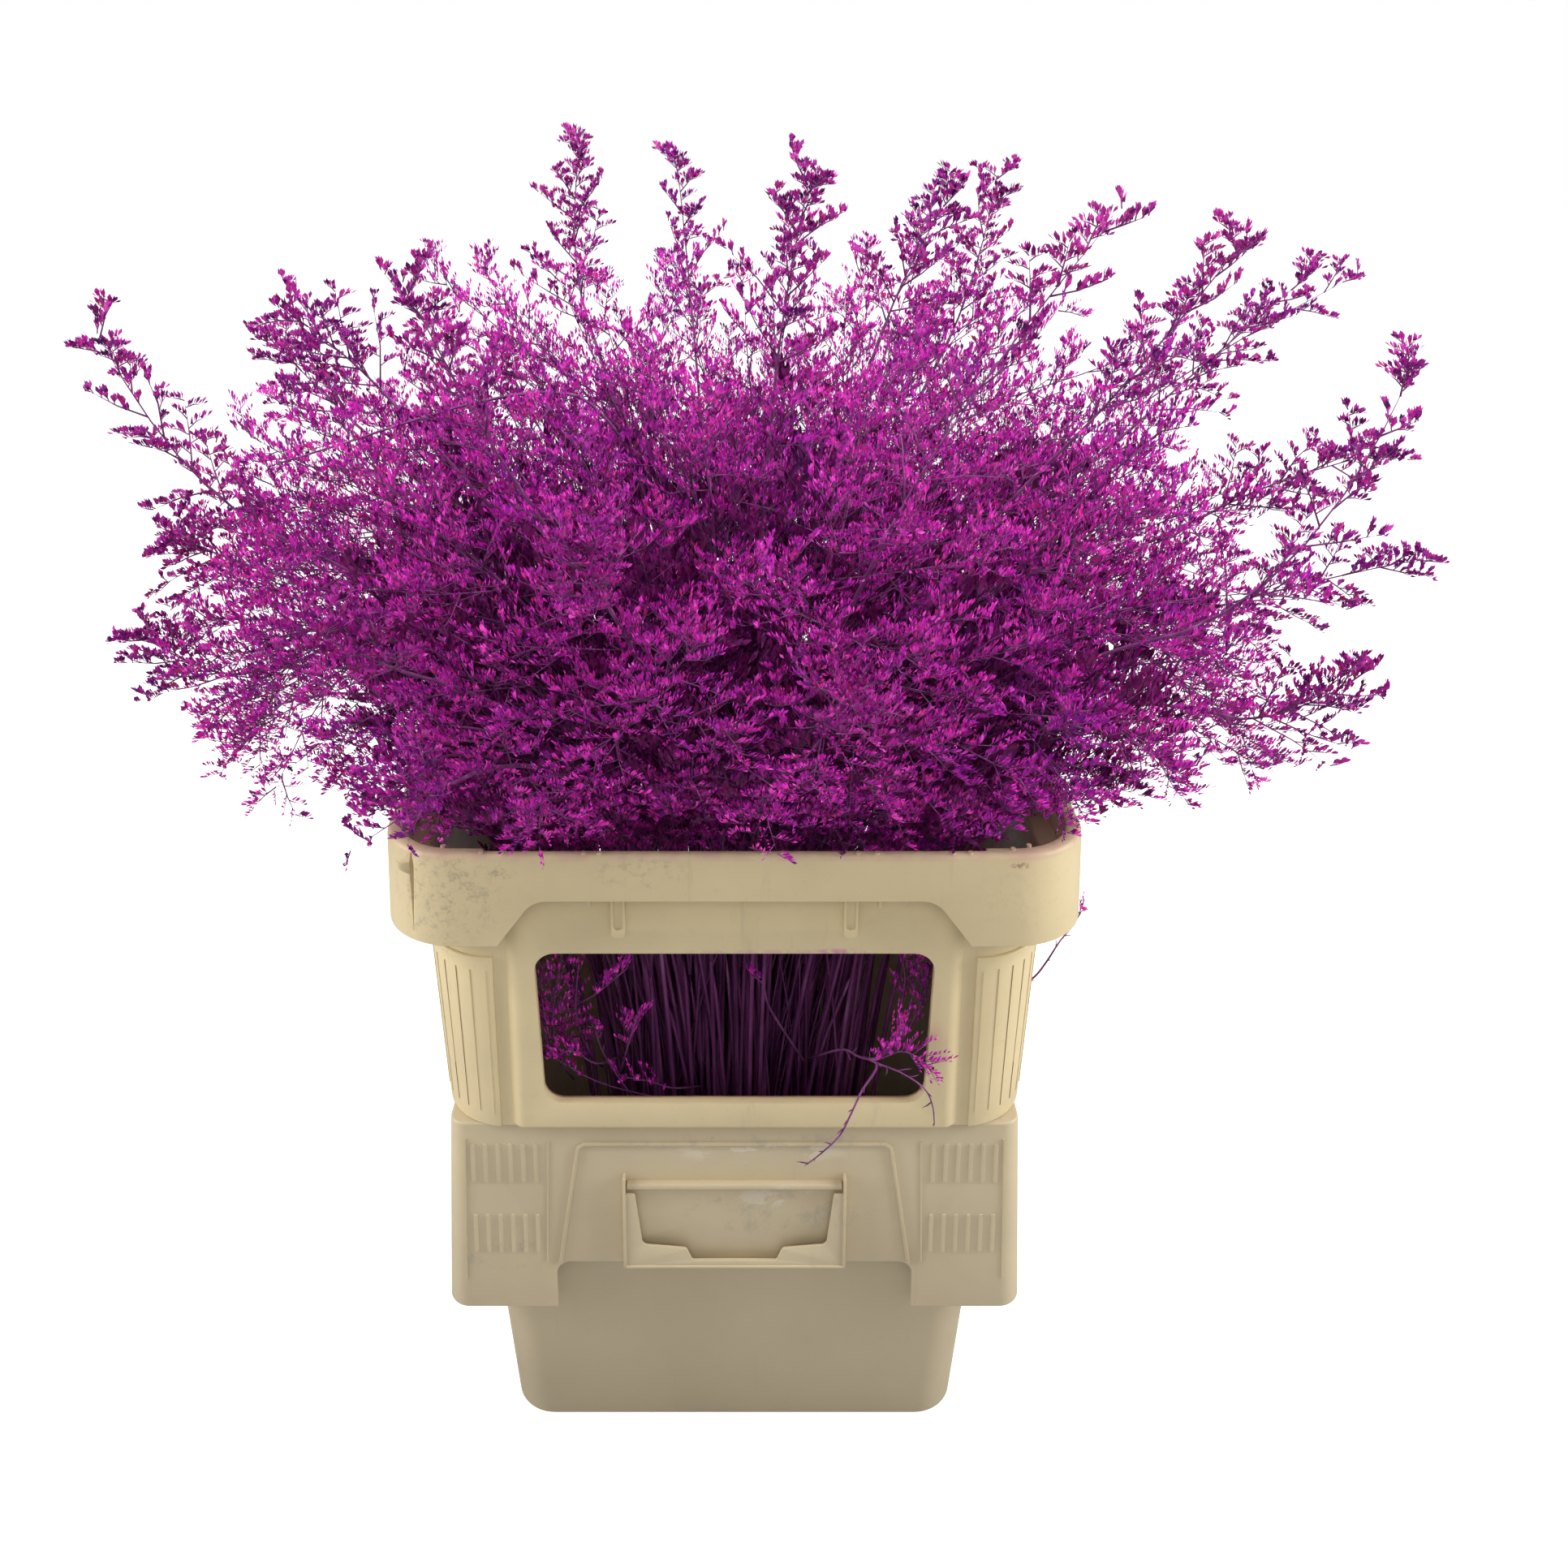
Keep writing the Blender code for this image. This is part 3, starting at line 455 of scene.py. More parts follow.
def floret_material(name, level):
    """Dyed florets: shades of magenta from place to place, some red, and patches of violet or pink."""
    n = Nodes(name)
    shades = [
        (0.00, (0.100, 0.001, 0.110)), (0.22, (0.280, 0.004, 0.260)), (0.50, (0.570, 0.011, 0.440)),
        (0.80, (0.820, 0.030, 0.560)), (1.00, (0.930, 0.110, 0.640)),
    ]
    first, second = n.cells(230.0)
    patch = n.noise(13.0, 3.0, 0.6)
    colour = n.ramp(first, [(at, tuple(level * c for c in shade)) for at, shade in shades])
    for value, low, high, most, tint in (
        (second, 0.90, 0.99, 0.55, (0.75, 0.03, 0.14)),
        (patch, 0.52, 0.68, 0.40, (0.380, 0.012, 0.520)),
        (patch, 0.46, 0.30, 0.35, (0.820, 0.050, 0.480)),
    ):
        colour = n.mix(n.between(value, low, high, 0.0, most), colour, tuple(level * c for c in tint))
    n.set(Base_Color=colour, Roughness=0.62, Specular_IOR_Level=0.30)
    return n.material


# Small mesh helpers for the holder


def object_from(name, vertices, faces):
    mesh = bpy.data.meshes.new(name)
    mesh.from_pydata([tuple(v) for v in vertices], [], faces)
    obj = linked(name, mesh)
    face_outwards(obj)
    return obj


def face_outwards(obj):
    mesh = bmesh.new()
    mesh.from_mesh(obj.data)
    bmesh.ops.recalc_face_normals(mesh, faces=mesh.faces)
    mesh.to_mesh(obj.data)
    mesh.free()


def freeze(obj):
    bpy.context.view_layer.update()
    graph = bpy.context.evaluated_depsgraph_get()
    mesh = bpy.data.meshes.new_from_object(obj.evaluated_get(graph))
    obj.modifiers.clear()
    obj.data = mesh
    mesh.transform(obj.matrix_world)
    obj.matrix_world = Matrix.Identity(4)


def bevel(obj, width, segments, angle):
    modifier = obj.modifiers.new("bevel", "BEVEL")
    modifier.width = width
    modifier.segments = segments
    modifier.limit_method = "ANGLE"
    modifier.angle_limit = math.radians(angle)
    freeze(obj)


def boolean(obj, others, operation):
    for other in others:
        modifier = obj.modifiers.new(other.name, "BOOLEAN")
        modifier.operation = operation
        modifier.solver = "EXACT"
        modifier.object = other
    freeze(obj)
    for other in others:
        bpy.data.objects.remove(other, do_unlink=True)


def join(pieces, name):
    """Gathers the pieces into one mesh object."""
    whole = bmesh.new()
    for piece in pieces:
        piece.data.transform(piece.matrix_world)
        whole.from_mesh(piece.data)
        bpy.data.objects.remove(piece, do_unlink=True)
    mesh = bpy.data.meshes.new(name)
    whole.to_mesh(mesh)
    whole.free()
    obj = linked(name, mesh)
    face_outwards(obj)
    return obj


def finish_piece(obj, material, replaced=()):
    obj.data.materials.clear()
    obj.data.materials.append(material)
    obj.data.polygons.foreach_set("use_smooth", [True] * len(obj.data.polygons))
    obj.data.set_sharp_from_angle(angle=SHARP_ANGLE)
    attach(obj, "root")
    if replaced:
        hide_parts(*replaced)


def rounded_outline(half_x, half_y, corner, steps=12):
    points = []
    for quarter in range(4):
        centre_x = (half_x - corner) * (1 if quarter in (0, 3) else -1)
        centre_y = (half_y - corner) * (1 if quarter in (0, 1) else -1)
        for step in range(steps + 1):
            angle = math.pi / 2 * (quarter + step / steps)
            points.append((centre_x + corner * math.cos(angle), centre_y + corner * math.sin(angle)))
    return points


def shell_of(name, sections, capped):
    """A skin through rounded rectangles (half x and y, how far past them, corner radius, height)."""
    rings = [rounded_outline(hx + out, hy + out, corner) for (hx, hy), out, corner, _ in sections]
    count = len(rings[0])
    vertices = [(x, y, z) for ring, (*_, z) in zip(rings, sections) for x, y in ring]
    faces = []
    for index in range(len(rings) - capped):
        after = (index + 1) % len(rings)
        for k in range(count):
            n = (k + 1) % count
            faces.append((index * count + k, index * count + n, after * count + n, after * count + k))
    if capped:
        faces += [tuple(reversed(range(count))), tuple(range((len(rings) - 1) * count, len(rings) * count))]
    return object_from(name, vertices, faces)


def plate(name, outline, near_y, far_y):
    """A flat outline in x and z, given its thickness between two values of y."""
    curve = bpy.data.curves.new(name, "CURVE")
    curve.dimensions = "2D"
    curve.fill_mode = "BOTH"
    curve.extrude = abs(far_y - near_y) / 2
    spline = curve.splines.new("POLY")
    spline.points.add(len(outline) - 1)
    for point, (x, z) in zip(spline.points, outline):
        point.co = (x, z, 0.0, 1.0)
    spline.use_cyclic_u = True
    guide = linked(name, curve)
    bpy.context.view_layer.update()
    mesh = bpy.data.meshes.new_from_object(guide.evaluated_get(bpy.context.evaluated_depsgraph_get()))
    bpy.data.objects.remove(guide, do_unlink=True)
    welded = bmesh.new()
    welded.from_mesh(mesh)
    bmesh.ops.remove_doubles(welded, verts=welded.verts, dist=1e-6)
    bmesh.ops.recalc_face_normals(welded, faces=welded.faces)
    middle = Matrix.Translation((0, (near_y + far_y) / 2, 0))
    welded.transform(middle @ Matrix.Rotation(math.pi / 2, 4, "X"))
    welded.to_mesh(mesh)
    welded.free()
    return linked(name, mesh)


BOX_FACES = [(0, 1, 3, 2), (4, 6, 7, 5), (0, 4, 5, 1), (2, 3, 7, 6), (0, 2, 6, 4), (1, 5, 7, 3)]


def box(name, low, high):
    return object_from(name, list(product(*zip(low, high))), BOX_FACES)


def round_corners(corners, radii, steps=8):
    """An outline with each corner rounded by its own radius."""
    points = []
    for index, corner in enumerate(corners):
        here = Vector(corner)
        if radii[index] == 0:
            points.append(tuple(here))
            continue
        before = (Vector(corners[index - 1]) - here).normalized()
        after = (Vector(corners[(index + 1) % len(corners)]) - here).normalized()
        half = before.angle(after) / 2
        run = radii[index] / math.tan(half)
        centre = here + (before + after).normalized() * (radii[index] / math.sin(half))
        start = here + before * run - centre
        turn = start.angle_signed(here + after * run - centre)
        for step in range(steps + 1):
            spun = start.copy()
            spun.rotate(Matrix.Rotation(-turn * step / steps, 2))
            points.append(tuple(centre + spun))
    return points


def symmetric(right, radii=None, steps=8):
    """A closed outline from its right half, with the left half mirrored from it."""
    radii = radii or [0] * len(right)
    left = [(-x, z) for x, z in reversed(right)]
    return round_corners(right + left, [*radii, *reversed(radii)], steps)


def rectangle(x0, z0, x1, z1, radii=(0, 0, 0, 0), steps=4):
    return round_corners([(x0, z0), (x1, z0), (x1, z1), (x0, z1)], radii, steps)


# Bucket


def make_bucket(plastic):
    (hx, hy), top, low = BUCKET_HALF, BUCKET_HEIGHT, BUCKET_HEIGHT - SKIRT_DEPTH
    bucket = shell_of("bucket_look", [
        (BUCKET_BASE_HALF, -PLASTIC, 0.027, FLOOR_Z),
        ((hx - 0.013, hy - 0.0125), 0.0, 0.031, top),
        (BUCKET_HALF, -0.001, 0.011, top),
        (BUCKET_HALF, 0.0, 0.012, top - 0.001),
        (BUCKET_HALF, SKIRT_FLARE, 0.016, low),
        (BUCKET_HALF, SKIRT_FLARE - PLASTIC, 0.0135, low),
        (BUCKET_HALF, -PLASTIC, 0.0100, top - 0.004),
        ((hx - 0.010, hy - 0.0095), 0.0, 0.034, top - 0.004),
        (BUCKET_BASE_HALF, 0.0, 0.030, 0.0),
    ], capped=True)
    opening = symmetric([(CUT_AWAY_HALF, low - 0.010), (CUT_AWAY_HALF, top - CUT_AWAY_DEPTH)], [0, 0.010])
    outer, inner = hy + SKIRT_FLARE * 0.75 + 0.010, hy - 0.0015
    cutters = [plate("cut", opening, -side * outer, -side * inner) for side in (1, -1)]
    boolean(bucket, cutters, "DIFFERENCE")
    bevel(bucket, 0.0009, 2, 40)
    finish_piece(bucket, plastic, ["bucket"])
    make_skirt_relief(plastic)


def on_skirt(points, high, name, low=-0.001, bevelled=0.0005):
    """A plate given in x and height under the bucket's top, laid on the leaning front skirt."""
    piece = plate(name, points, -high, -low)
    lean = Matrix.Rotation(-math.atan(SKIRT_FLARE / SKIRT_DEPTH), 4, "X")
    piece.data.transform(Matrix.Translation((0, -BUCKET_HALF[1], BUCKET_HEIGHT)) @ lean)
    if bevelled:
        bevel(piece, bevelled, 2, 40)
    return piece


def make_skirt_relief(plastic):
    """The raised frame, the label clip and the fields of small ribs on the front of the skirt."""
    foot, top = -0.1125, -0.0145
    frame_line = symmetric([(0.1060, top), (0.1110, top - 0.004), (0.1255, foot), (0.1225, foot),
                            (0.1085, top - 0.005), (0.1050, top - 0.0025)])
    pocket = symmetric([(0.0300, -0.1055), (0.0340, -0.0960), (0.0650, -0.0930), (0.0700, -0.0520),
                        (0.0770, -0.0520), (0.0770, -0.1100)], [0.002, 0.003, 0.004, 0.0015, 0.0015, 0], 4)
    pieces = [
        on_skirt(frame_line, 0.0020, "frame"),
        on_skirt(rectangle(-0.0755, -0.0487, 0.0755, -0.0452), 0.0060, "bar"),
        on_skirt(rectangle(-0.0785, -0.1115, -0.0765, -0.0395), 0.0080, "fin"),
        on_skirt(rectangle(0.0765, -0.1115, 0.0785, -0.0395), 0.0080, "fin"),
        on_skirt(rectangle(-0.0780, -0.1115, 0.0780, -0.1095), 0.0080, "ledge"),
        on_skirt(pocket, 0.0070, "pocket", 0.0048),
    ]
    for side in (-1, 1):
        for z0, z1 in ((-0.0470, -0.0160), (-0.1040, -0.0730)):
            for k in range(RIBS):
                x = side * (RIB_START + k * RIB_STEP)
                rib = rectangle(x - 0.0015, z0, x + 0.0015, z1, [0.0010] * 4)
                pieces.append(on_skirt(rib, 0.0009, "rib", bevelled=0.0003))
        for high, x0, z0, x1, z1 in SKIRT_LINES:
            edge = ((x0, z0), (x0 + LINE_WIDTH, z0), (x1 + LINE_WIDTH, z1), (x1, z1))
            edge = [(side * x, z) for x, z in edge]
            pieces.append(on_skirt(edge[::side], high, "line", bevelled=0.0))
    finish_piece(join(pieces, "skirt_relief"), plastic)


# Collar


def wall_out(height):
    return COLLAR_TAPER * height / COLLAR_WALL


def make_collar(plastic, hole):
    foot, rim, corner, round_foot = COLLAR_FOOT_HALF, RIM_HALF, RIM_CORNER, COLLAR_CORNER
    top, band, low = COLLAR_HEIGHT, COLLAR_HEIGHT - RIM_BAND, COLLAR_HEIGHT - RIM_SKIRT
    rim_top = ((0.0004, 0.0024), (0.0013, 0.0009), (0.0028, 0.0), (0.0092, 0.0), (0.0103, 0.0005),
               (0.0108, 0.0018), (0.012, RIM_BAND - 0.004))
    sections = [
        (foot, -0.010, 0.036, 0.0),
        (foot, 0.0, round_foot, 0.0),
        (foot, COLLAR_TAPER, round_foot + 0.002, COLLAR_WALL),
        (rim, -PLASTIC, corner - 0.002, band),
        (rim, RIM_FLARE - PLASTIC, corner - 0.001, low),
        (rim, RIM_FLARE - 0.0024, corner - 0.001, low - 0.0006),
        (rim, RIM_FLARE - 0.0006, corner + 0.001, low - 0.0006),
        (rim, RIM_FLARE, corner + 0.001, low),
        (rim, 0.0, corner, top - 0.0045),
        *((rim, -inset, corner - inset, top - under) for inset, under in rim_top),
        (foot, COLLAR_TAPER - PLASTIC, round_foot - 0.001, COLLAR_WALL + 0.001),
        (foot, -PLASTIC, round_foot - 0.003, 0.004),
        (foot, -0.010, 0.036, 0.004),
    ]
    collar = shell_of("collar_look", [(*section, BASE_Z + z) for *section, z in sections], capped=False)
    boolean(collar, collar_relief(), "UNION")
    boolean(collar, collar_cutters(), "DIFFERENCE")
    bevel(collar, 0.0008, 2, 42)
    finish_piece(collar, plastic, ["collar"])
    finish_piece(pad_lines(), plastic)
    finish_piece(torn_flap(), plastic)
    finish_piece(rim_dots("rim_holes", RIM_HOLES, 0.00015, 0.0013), hole)
    finish_piece(rim_dots("rim_studs", RIM_STUDS, 0.0010, 0.0016), plastic)


def panel(side):
    """The raised panel on the tapering front or back wall, with sloping edges."""
    vertices = []
    for height, half in ((0.0, PANEL_HALF + 0.004), (COLLAR_WALL - 0.001, PANEL_HALF + 0.002)):
        face = COLLAR_FOOT_HALF[1] + wall_out(height)
        for depth, inset in ((face - 0.0015, 0.0), (face + PANEL_RAISE, 0.008)):
            vertices += [(sign * (half - inset), -side * depth, BASE_Z + height) for sign in (-1, 1)]
    obj = object_from("panel", vertices, BOX_FACES)
    bevel(obj, 0.0035, 4, 25)
    return obj


def pad_path(height, steps):
    """Places round a corner at a height: (x, y, normal x, normal y) from the front round to the side."""
    hx, hy = (half + wall_out(height) - COLLAR_CORNER for half in COLLAR_FOOT_HALF)
    first = math.acos((PAD_START - hx) / COLLAR_CORNER)
    path = []
    for step in range(steps + 1):
        nx, ny = math.cos(first * (1 - step / steps)), math.sin(first * (1 - step / steps))
        path.append((hx + COLLAR_CORNER * nx, hy + COLLAR_CORNER * ny, nx, ny))
    path.append((hx + COLLAR_CORNER, hy - 0.030, 1.0, 0.0))
    return path


def on_pad(place, sign_x, sign_y, height, out, along=0.0):
    """A point on a pad's path, moved outwards and along, in one of the four corners."""
    x, y, nx, ny = place
    return (sign_x * (x + nx * out - ny * along), sign_y * (y + ny * out + nx * along), BASE_Z + height)


def strip(name, columns):
    """A closed strip from columns of (inner, outer) places, low row first."""
    count = len(columns[0])
    vertices = [v for column in columns for pair in column for v in pair]
    faces = []
    for k in range(count - 1):
        a, b = 2 * k, 2 * (k + 1)
        c, d = a + 2 * count, b + 2 * count
        faces += [(a, b, d, c), (a + 1, c + 1, d + 1, b + 1), (a, a + 1, b + 1, b), (c, d, d + 1, c + 1)]
    last = 2 * (count - 1)
    faces += [(0, 2 * count, 2 * count + 1, 1), (last, last + 1, last + 1 + 2 * count, last + 2 * count)]
    return object_from(name, vertices, faces)


def corner_pad(signs):
    columns = [[[on_pad(place, *signs, height, out) for out in (-0.0012, PAD_RAISE)]
                for place in pad_path(height, 12)] for height in (0.0, PAD_HEIGHT)]
    pad = strip("pad", columns)
    bevel(pad, 0.0011, 3, 50)
    return pad


def pad_lines():
    """The fine upright ribs on the corner pads."""
    rows = [(height, pad_path(height, 60)) for height in (0.012, PAD_HEIGHT - 0.010)]
    pieces = []
    for signs in product((-1, 1), repeat=2):
        for k in range(4, 60, 9):
            columns = [[[on_pad(row[k], *signs, height, PAD_RAISE + out, along) for out in (-0.0006, 0.0005)]
                        for along in (-0.0005, 0.0005)] for height, row in rows]
            pieces.append(strip("line", columns))
    return join(pieces, "pad_lines")


def tongue(name, x, half, low, top, radius, near, far):
    """An upright plate with its lower corners rounded, from a height over the joint to a top."""
    outline = rectangle(x - half, BASE_Z + low, x + half, top, [radius, radius, 0, 0], 5)
    return plate(name, outline, near, far)


def collar_relief():
    """The raised panels with their tabs and pins, in front and behind, and the four corner pads."""
    pieces = []
    face = COLLAR_FOOT_HALF[1] + wall_out(TAB_HEIGHT) + PANEL_RAISE
    top = BASE_Z + COLLAR_HEIGHT - RIM_BAND + 0.001
    for side in (1, -1):
        pieces.append(panel(side))
        for x in (-TAB_X, TAB_X):
            near, far = -side * (face - 0.002), -side * (face + 0.0070)
            tab = tongue("tab", x, 0.0046, 0.1590, top, 0.0035, near, far)
            near, far = -side * (face + 0.0052), -side * (face + 0.0090)
            groove = tongue("groove", x, 0.0030, 0.1650, BASE_Z + 0.3, 0.0022, near, far)
            boolean(tab, [groove], "DIFFERENCE")
            bevel(tab, 0.0004, 2, 40)
            pin = math.copysign(TAB_X + PIN_BESIDE, x)
            y0, y1 = sorted((-side * (face - 0.002), -side * (face + 0.0060)))
            pieces += [tab, box("pin", (pin - 0.0013, y0, BASE_Z + 0.1812), (pin + 0.0013, y1, top))]
    return pieces + [corner_pad(signs) for signs in product((-1, 1), repeat=2)]


def collar_cutters():
    """What is cut out: the windows, the skirt's hand-hold arches, the rim's thin middle, and the crack."""
    (half_low, half_high), (narrow, wide) = WINDOW_HALF, HANDHOLD_HALF
    top, rim = RIM_Z + GAP, RIM_HALF[1]
    low, high = top - RIM_SKIRT, top - RIM_HANDHOLD
    corners = [(half_low, BASE_Z + WINDOW_LOW), (half_high, BASE_Z + WINDOW_HIGH)]
    window = symmetric(corners, [WINDOW_CORNER] * 2)
    arch = symmetric([(wide, low - 0.01), (wide, low), (narrow, high)], [0, 0.003, 0.018])
    thin = symmetric([(0.159, top - 0.018), (0.164, top + 0.01)])
    cuts = ((window, 0.130, 0.175), (arch, rim - 0.0072, rim + 0.010), (thin, rim - 0.020, rim - 0.0057))
    cutters = [plate("cutter", outline, -side * near, -side * far)
               for side in (1, -1) for outline, near, far in cuts]
    return [*cutters, crack()]


def on_corner(out, along, z):
    """A place by the skirt's torn corner: outwards from its face, along it, and its height."""
    (x, y), cos, sin = CRACK_PLACE, math.cos(CRACK_ANGLE), math.sin(CRACK_ANGLE)
    return (x + out * cos - along * sin, y + out * sin + along * cos, z)


def crack():
    """A tear through the skirt at its left front corner, wide at the top and closing downwards."""
    rows = ((0.5080, 0.0006), (0.5000, 0.0020), (0.4900, 0.0017), (0.4700, 0.0008), (0.4520, 0.0002))
    sides = list(product((-0.006, 0.006), (-1, 1)))
    vertices = [on_corner(out, along * half, z) for z, half in rows for out, along in sides]
    faces = [(0, 1, 3, 2), (16, 18, 19, 17)]
    for k in range(0, 16, 4):
        faces += [(k + a, k + a + 4, k + b + 4, k + b) for a, b in ((0, 1), (2, 3), (0, 2), (1, 3))]
    return object_from("crack", vertices, faces)


def torn_flap():
    """The thin curled sliver that stands out beside the crack's top."""
    low, high = [], []
    for step in range(6):
        s = step / 5
        out, along = 0.0006 + 0.0040 * math.sin(2.2 * s), -0.0014 - 0.0085 * s
        for line, z in ((low, 0.4925 + 0.0065 * s), (high, 0.5010 + 0.0004 * s)):
            line.append([on_corner(out + edge, along, z) for edge in (-0.0008 * (1 - 0.6 * s), 0.0)])
    return strip("torn_flap", [low, high])


def rim_dots(name, places, rise, radius, sides=12):
    """Small round plugs in the rim's top, at the front and turned half round at the back."""
    vertices, faces = [], []
    turns = [ROUND * k / sides for k in range(sides)]
    around = [(radius * math.cos(turn), radius * math.sin(turn)) for turn in turns]
    for (x, y), flip in product(places, (1, -1)):
        first = len(vertices)
        second, last = first + sides, first + 2 * sides
        for z in (RIM_Z + GAP - 0.0010, RIM_Z + GAP + rise):
            vertices += [(flip * x + dx, flip * y + dy, z) for dx, dy in around]
        for k in range(sides):
            n = (k + 1) % sides
            faces.append((first + k, first + n, second + n, second + k))
        faces += [tuple(reversed(range(first, second))), tuple(range(second, last))]
    return object_from(name, vertices, faces)


# Bunch: the same rule as in the CAD


def disc_sites():
    draw = random.Random(SEED)
    sites = []
    for index in range(STEMS):
        radius = math.sqrt((index + 0.5) / STEMS) * SITE_REACH
        angle = index * GOLDEN + draw.uniform(-SITE_WOBBLE, SITE_WOBBLE)
        sites.append((radius * math.cos(angle), radius * math.sin(angle)))
    return np.array(sites)


def in_disc(spots):
    """The same disc places (N, 2 or more), with those past the edge drawn back to it."""
    past = np.maximum(np.hypot(*spots[:, :2].T), 1.0)[:, None]
    return np.concatenate((spots[:, :2] / past, spots[:, 2:]), -1)


def crown(turn):
    """How far the ends reach at an angle of the disc: further in the corners."""
    return 1 + CORNER_REACH * np.abs(np.sin(2 * turn)) ** 1.5


def unit(v):
    return v / np.maximum(np.linalg.norm(v, axis=-1, keepdims=True), 1e-12)


def bush_points(u, v, t, spread=1.0, pull=LOWER_PULL):
    """The world places of disc points: t is -1 on the floor, 0 at the mouth and 1 on the bush's surface."""
    u, v, t = np.broadcast_arrays(*(np.atleast_1d(np.asarray(a, float)) for a in (u, v, t)))
    r = np.maximum(np.hypot(u, v), 1e-9)
    stretch = (np.abs(u / r) ** BUSH_SQUARE + np.abs(v / r) ** BUSH_SQUARE) ** (-1 / BUSH_SQUARE)
    su, sv = u * stretch, v * stretch
    foot = np.stack((spread * FOOT_HALF[0] * su, spread * FOOT_HALF[1] * sv, 0 * u + FLOOR_Z + 2 * GAP), -1)
    mouth = np.stack((MOUTH_HALF[0] * su, MOUTH_HALF[1] * sv, 0 * u + RIM_Z + MOUTH_RISE), -1)
    out = unit(np.stack((MOUTH_HALF[0] * u, MOUTH_HALF[1] * v, 0 * u), -1))
    lean = (MOUTH_LEAN * r)[..., None]
    heading = out * np.sin(lean) + UP * np.cos(lean)
    polar = BUSH_ANGLE * r - FRONT_LESS * v * v / r
    swell = np.abs(np.sin(polar)) ** SWELL_POWER / r
    dome = np.sign(np.cos(polar)) * np.abs(np.cos(polar)) ** DOME_POWER
    rise = RIM_Z + BUSH_MIDDLE + BUSH_RISE * dome
    surface = np.stack((BUSH_HALF[0] * su * swell, BUSH_HALF[1] * sv * swell, rise), -1)
    s = (1 + np.minimum(t, 0))[..., None]
    below = bend(foot, mouth - heading * pull, mouth, s)
    above = bend(mouth, mouth + heading * UPPER_PULL, surface, np.clip(t, 0, 1)[..., None])
    away = unit(surface - np.array((0.0, 0.0, RIM_Z + SPREAD_CENTRE)))
    above = above + away * (np.maximum(t - 1, 0) * BEYOND)[..., None]
    return np.where((t <= 0)[..., None], below, above)


def bend(start, handle, end, s):
    """A quadratic curve at shares s."""
    return start * (1 - s) ** 2 + handle * 2 * s * (1 - s) + end * s * s


def bush_point(u, v, t):
    return bush_points(u, v, t)[0]


def tip_targets(sites):
    """The long tips of the outline, given as seen from the front: a tip nearer to the eye is further in."""
    ends = [bush_point(*site, 1.15) for site in sites]
    pairs = []
    for index, end in enumerate(ends):
        near = min((end[1] + VIEW_AWAY) / VIEW_AWAY, NEAREST_TIP)
        for x, rise in LONG_TIPS:
            goal = (x * near, end[1], RIM_Z + VIEW_RISE + (rise - VIEW_RISE) * near)
            away = math.hypot(end[0] - goal[0], end[2] - goal[2]) + SIDE_COST * abs(end[1])
            pairs.append((away, index, (x, rise), goal))
    taken, used = {}, set()
    for _, index, tip, goal in sorted(pairs):
        if index not in taken and tip not in used:
            taken[index] = np.array(goal)
            used.add(tip)
    return taken


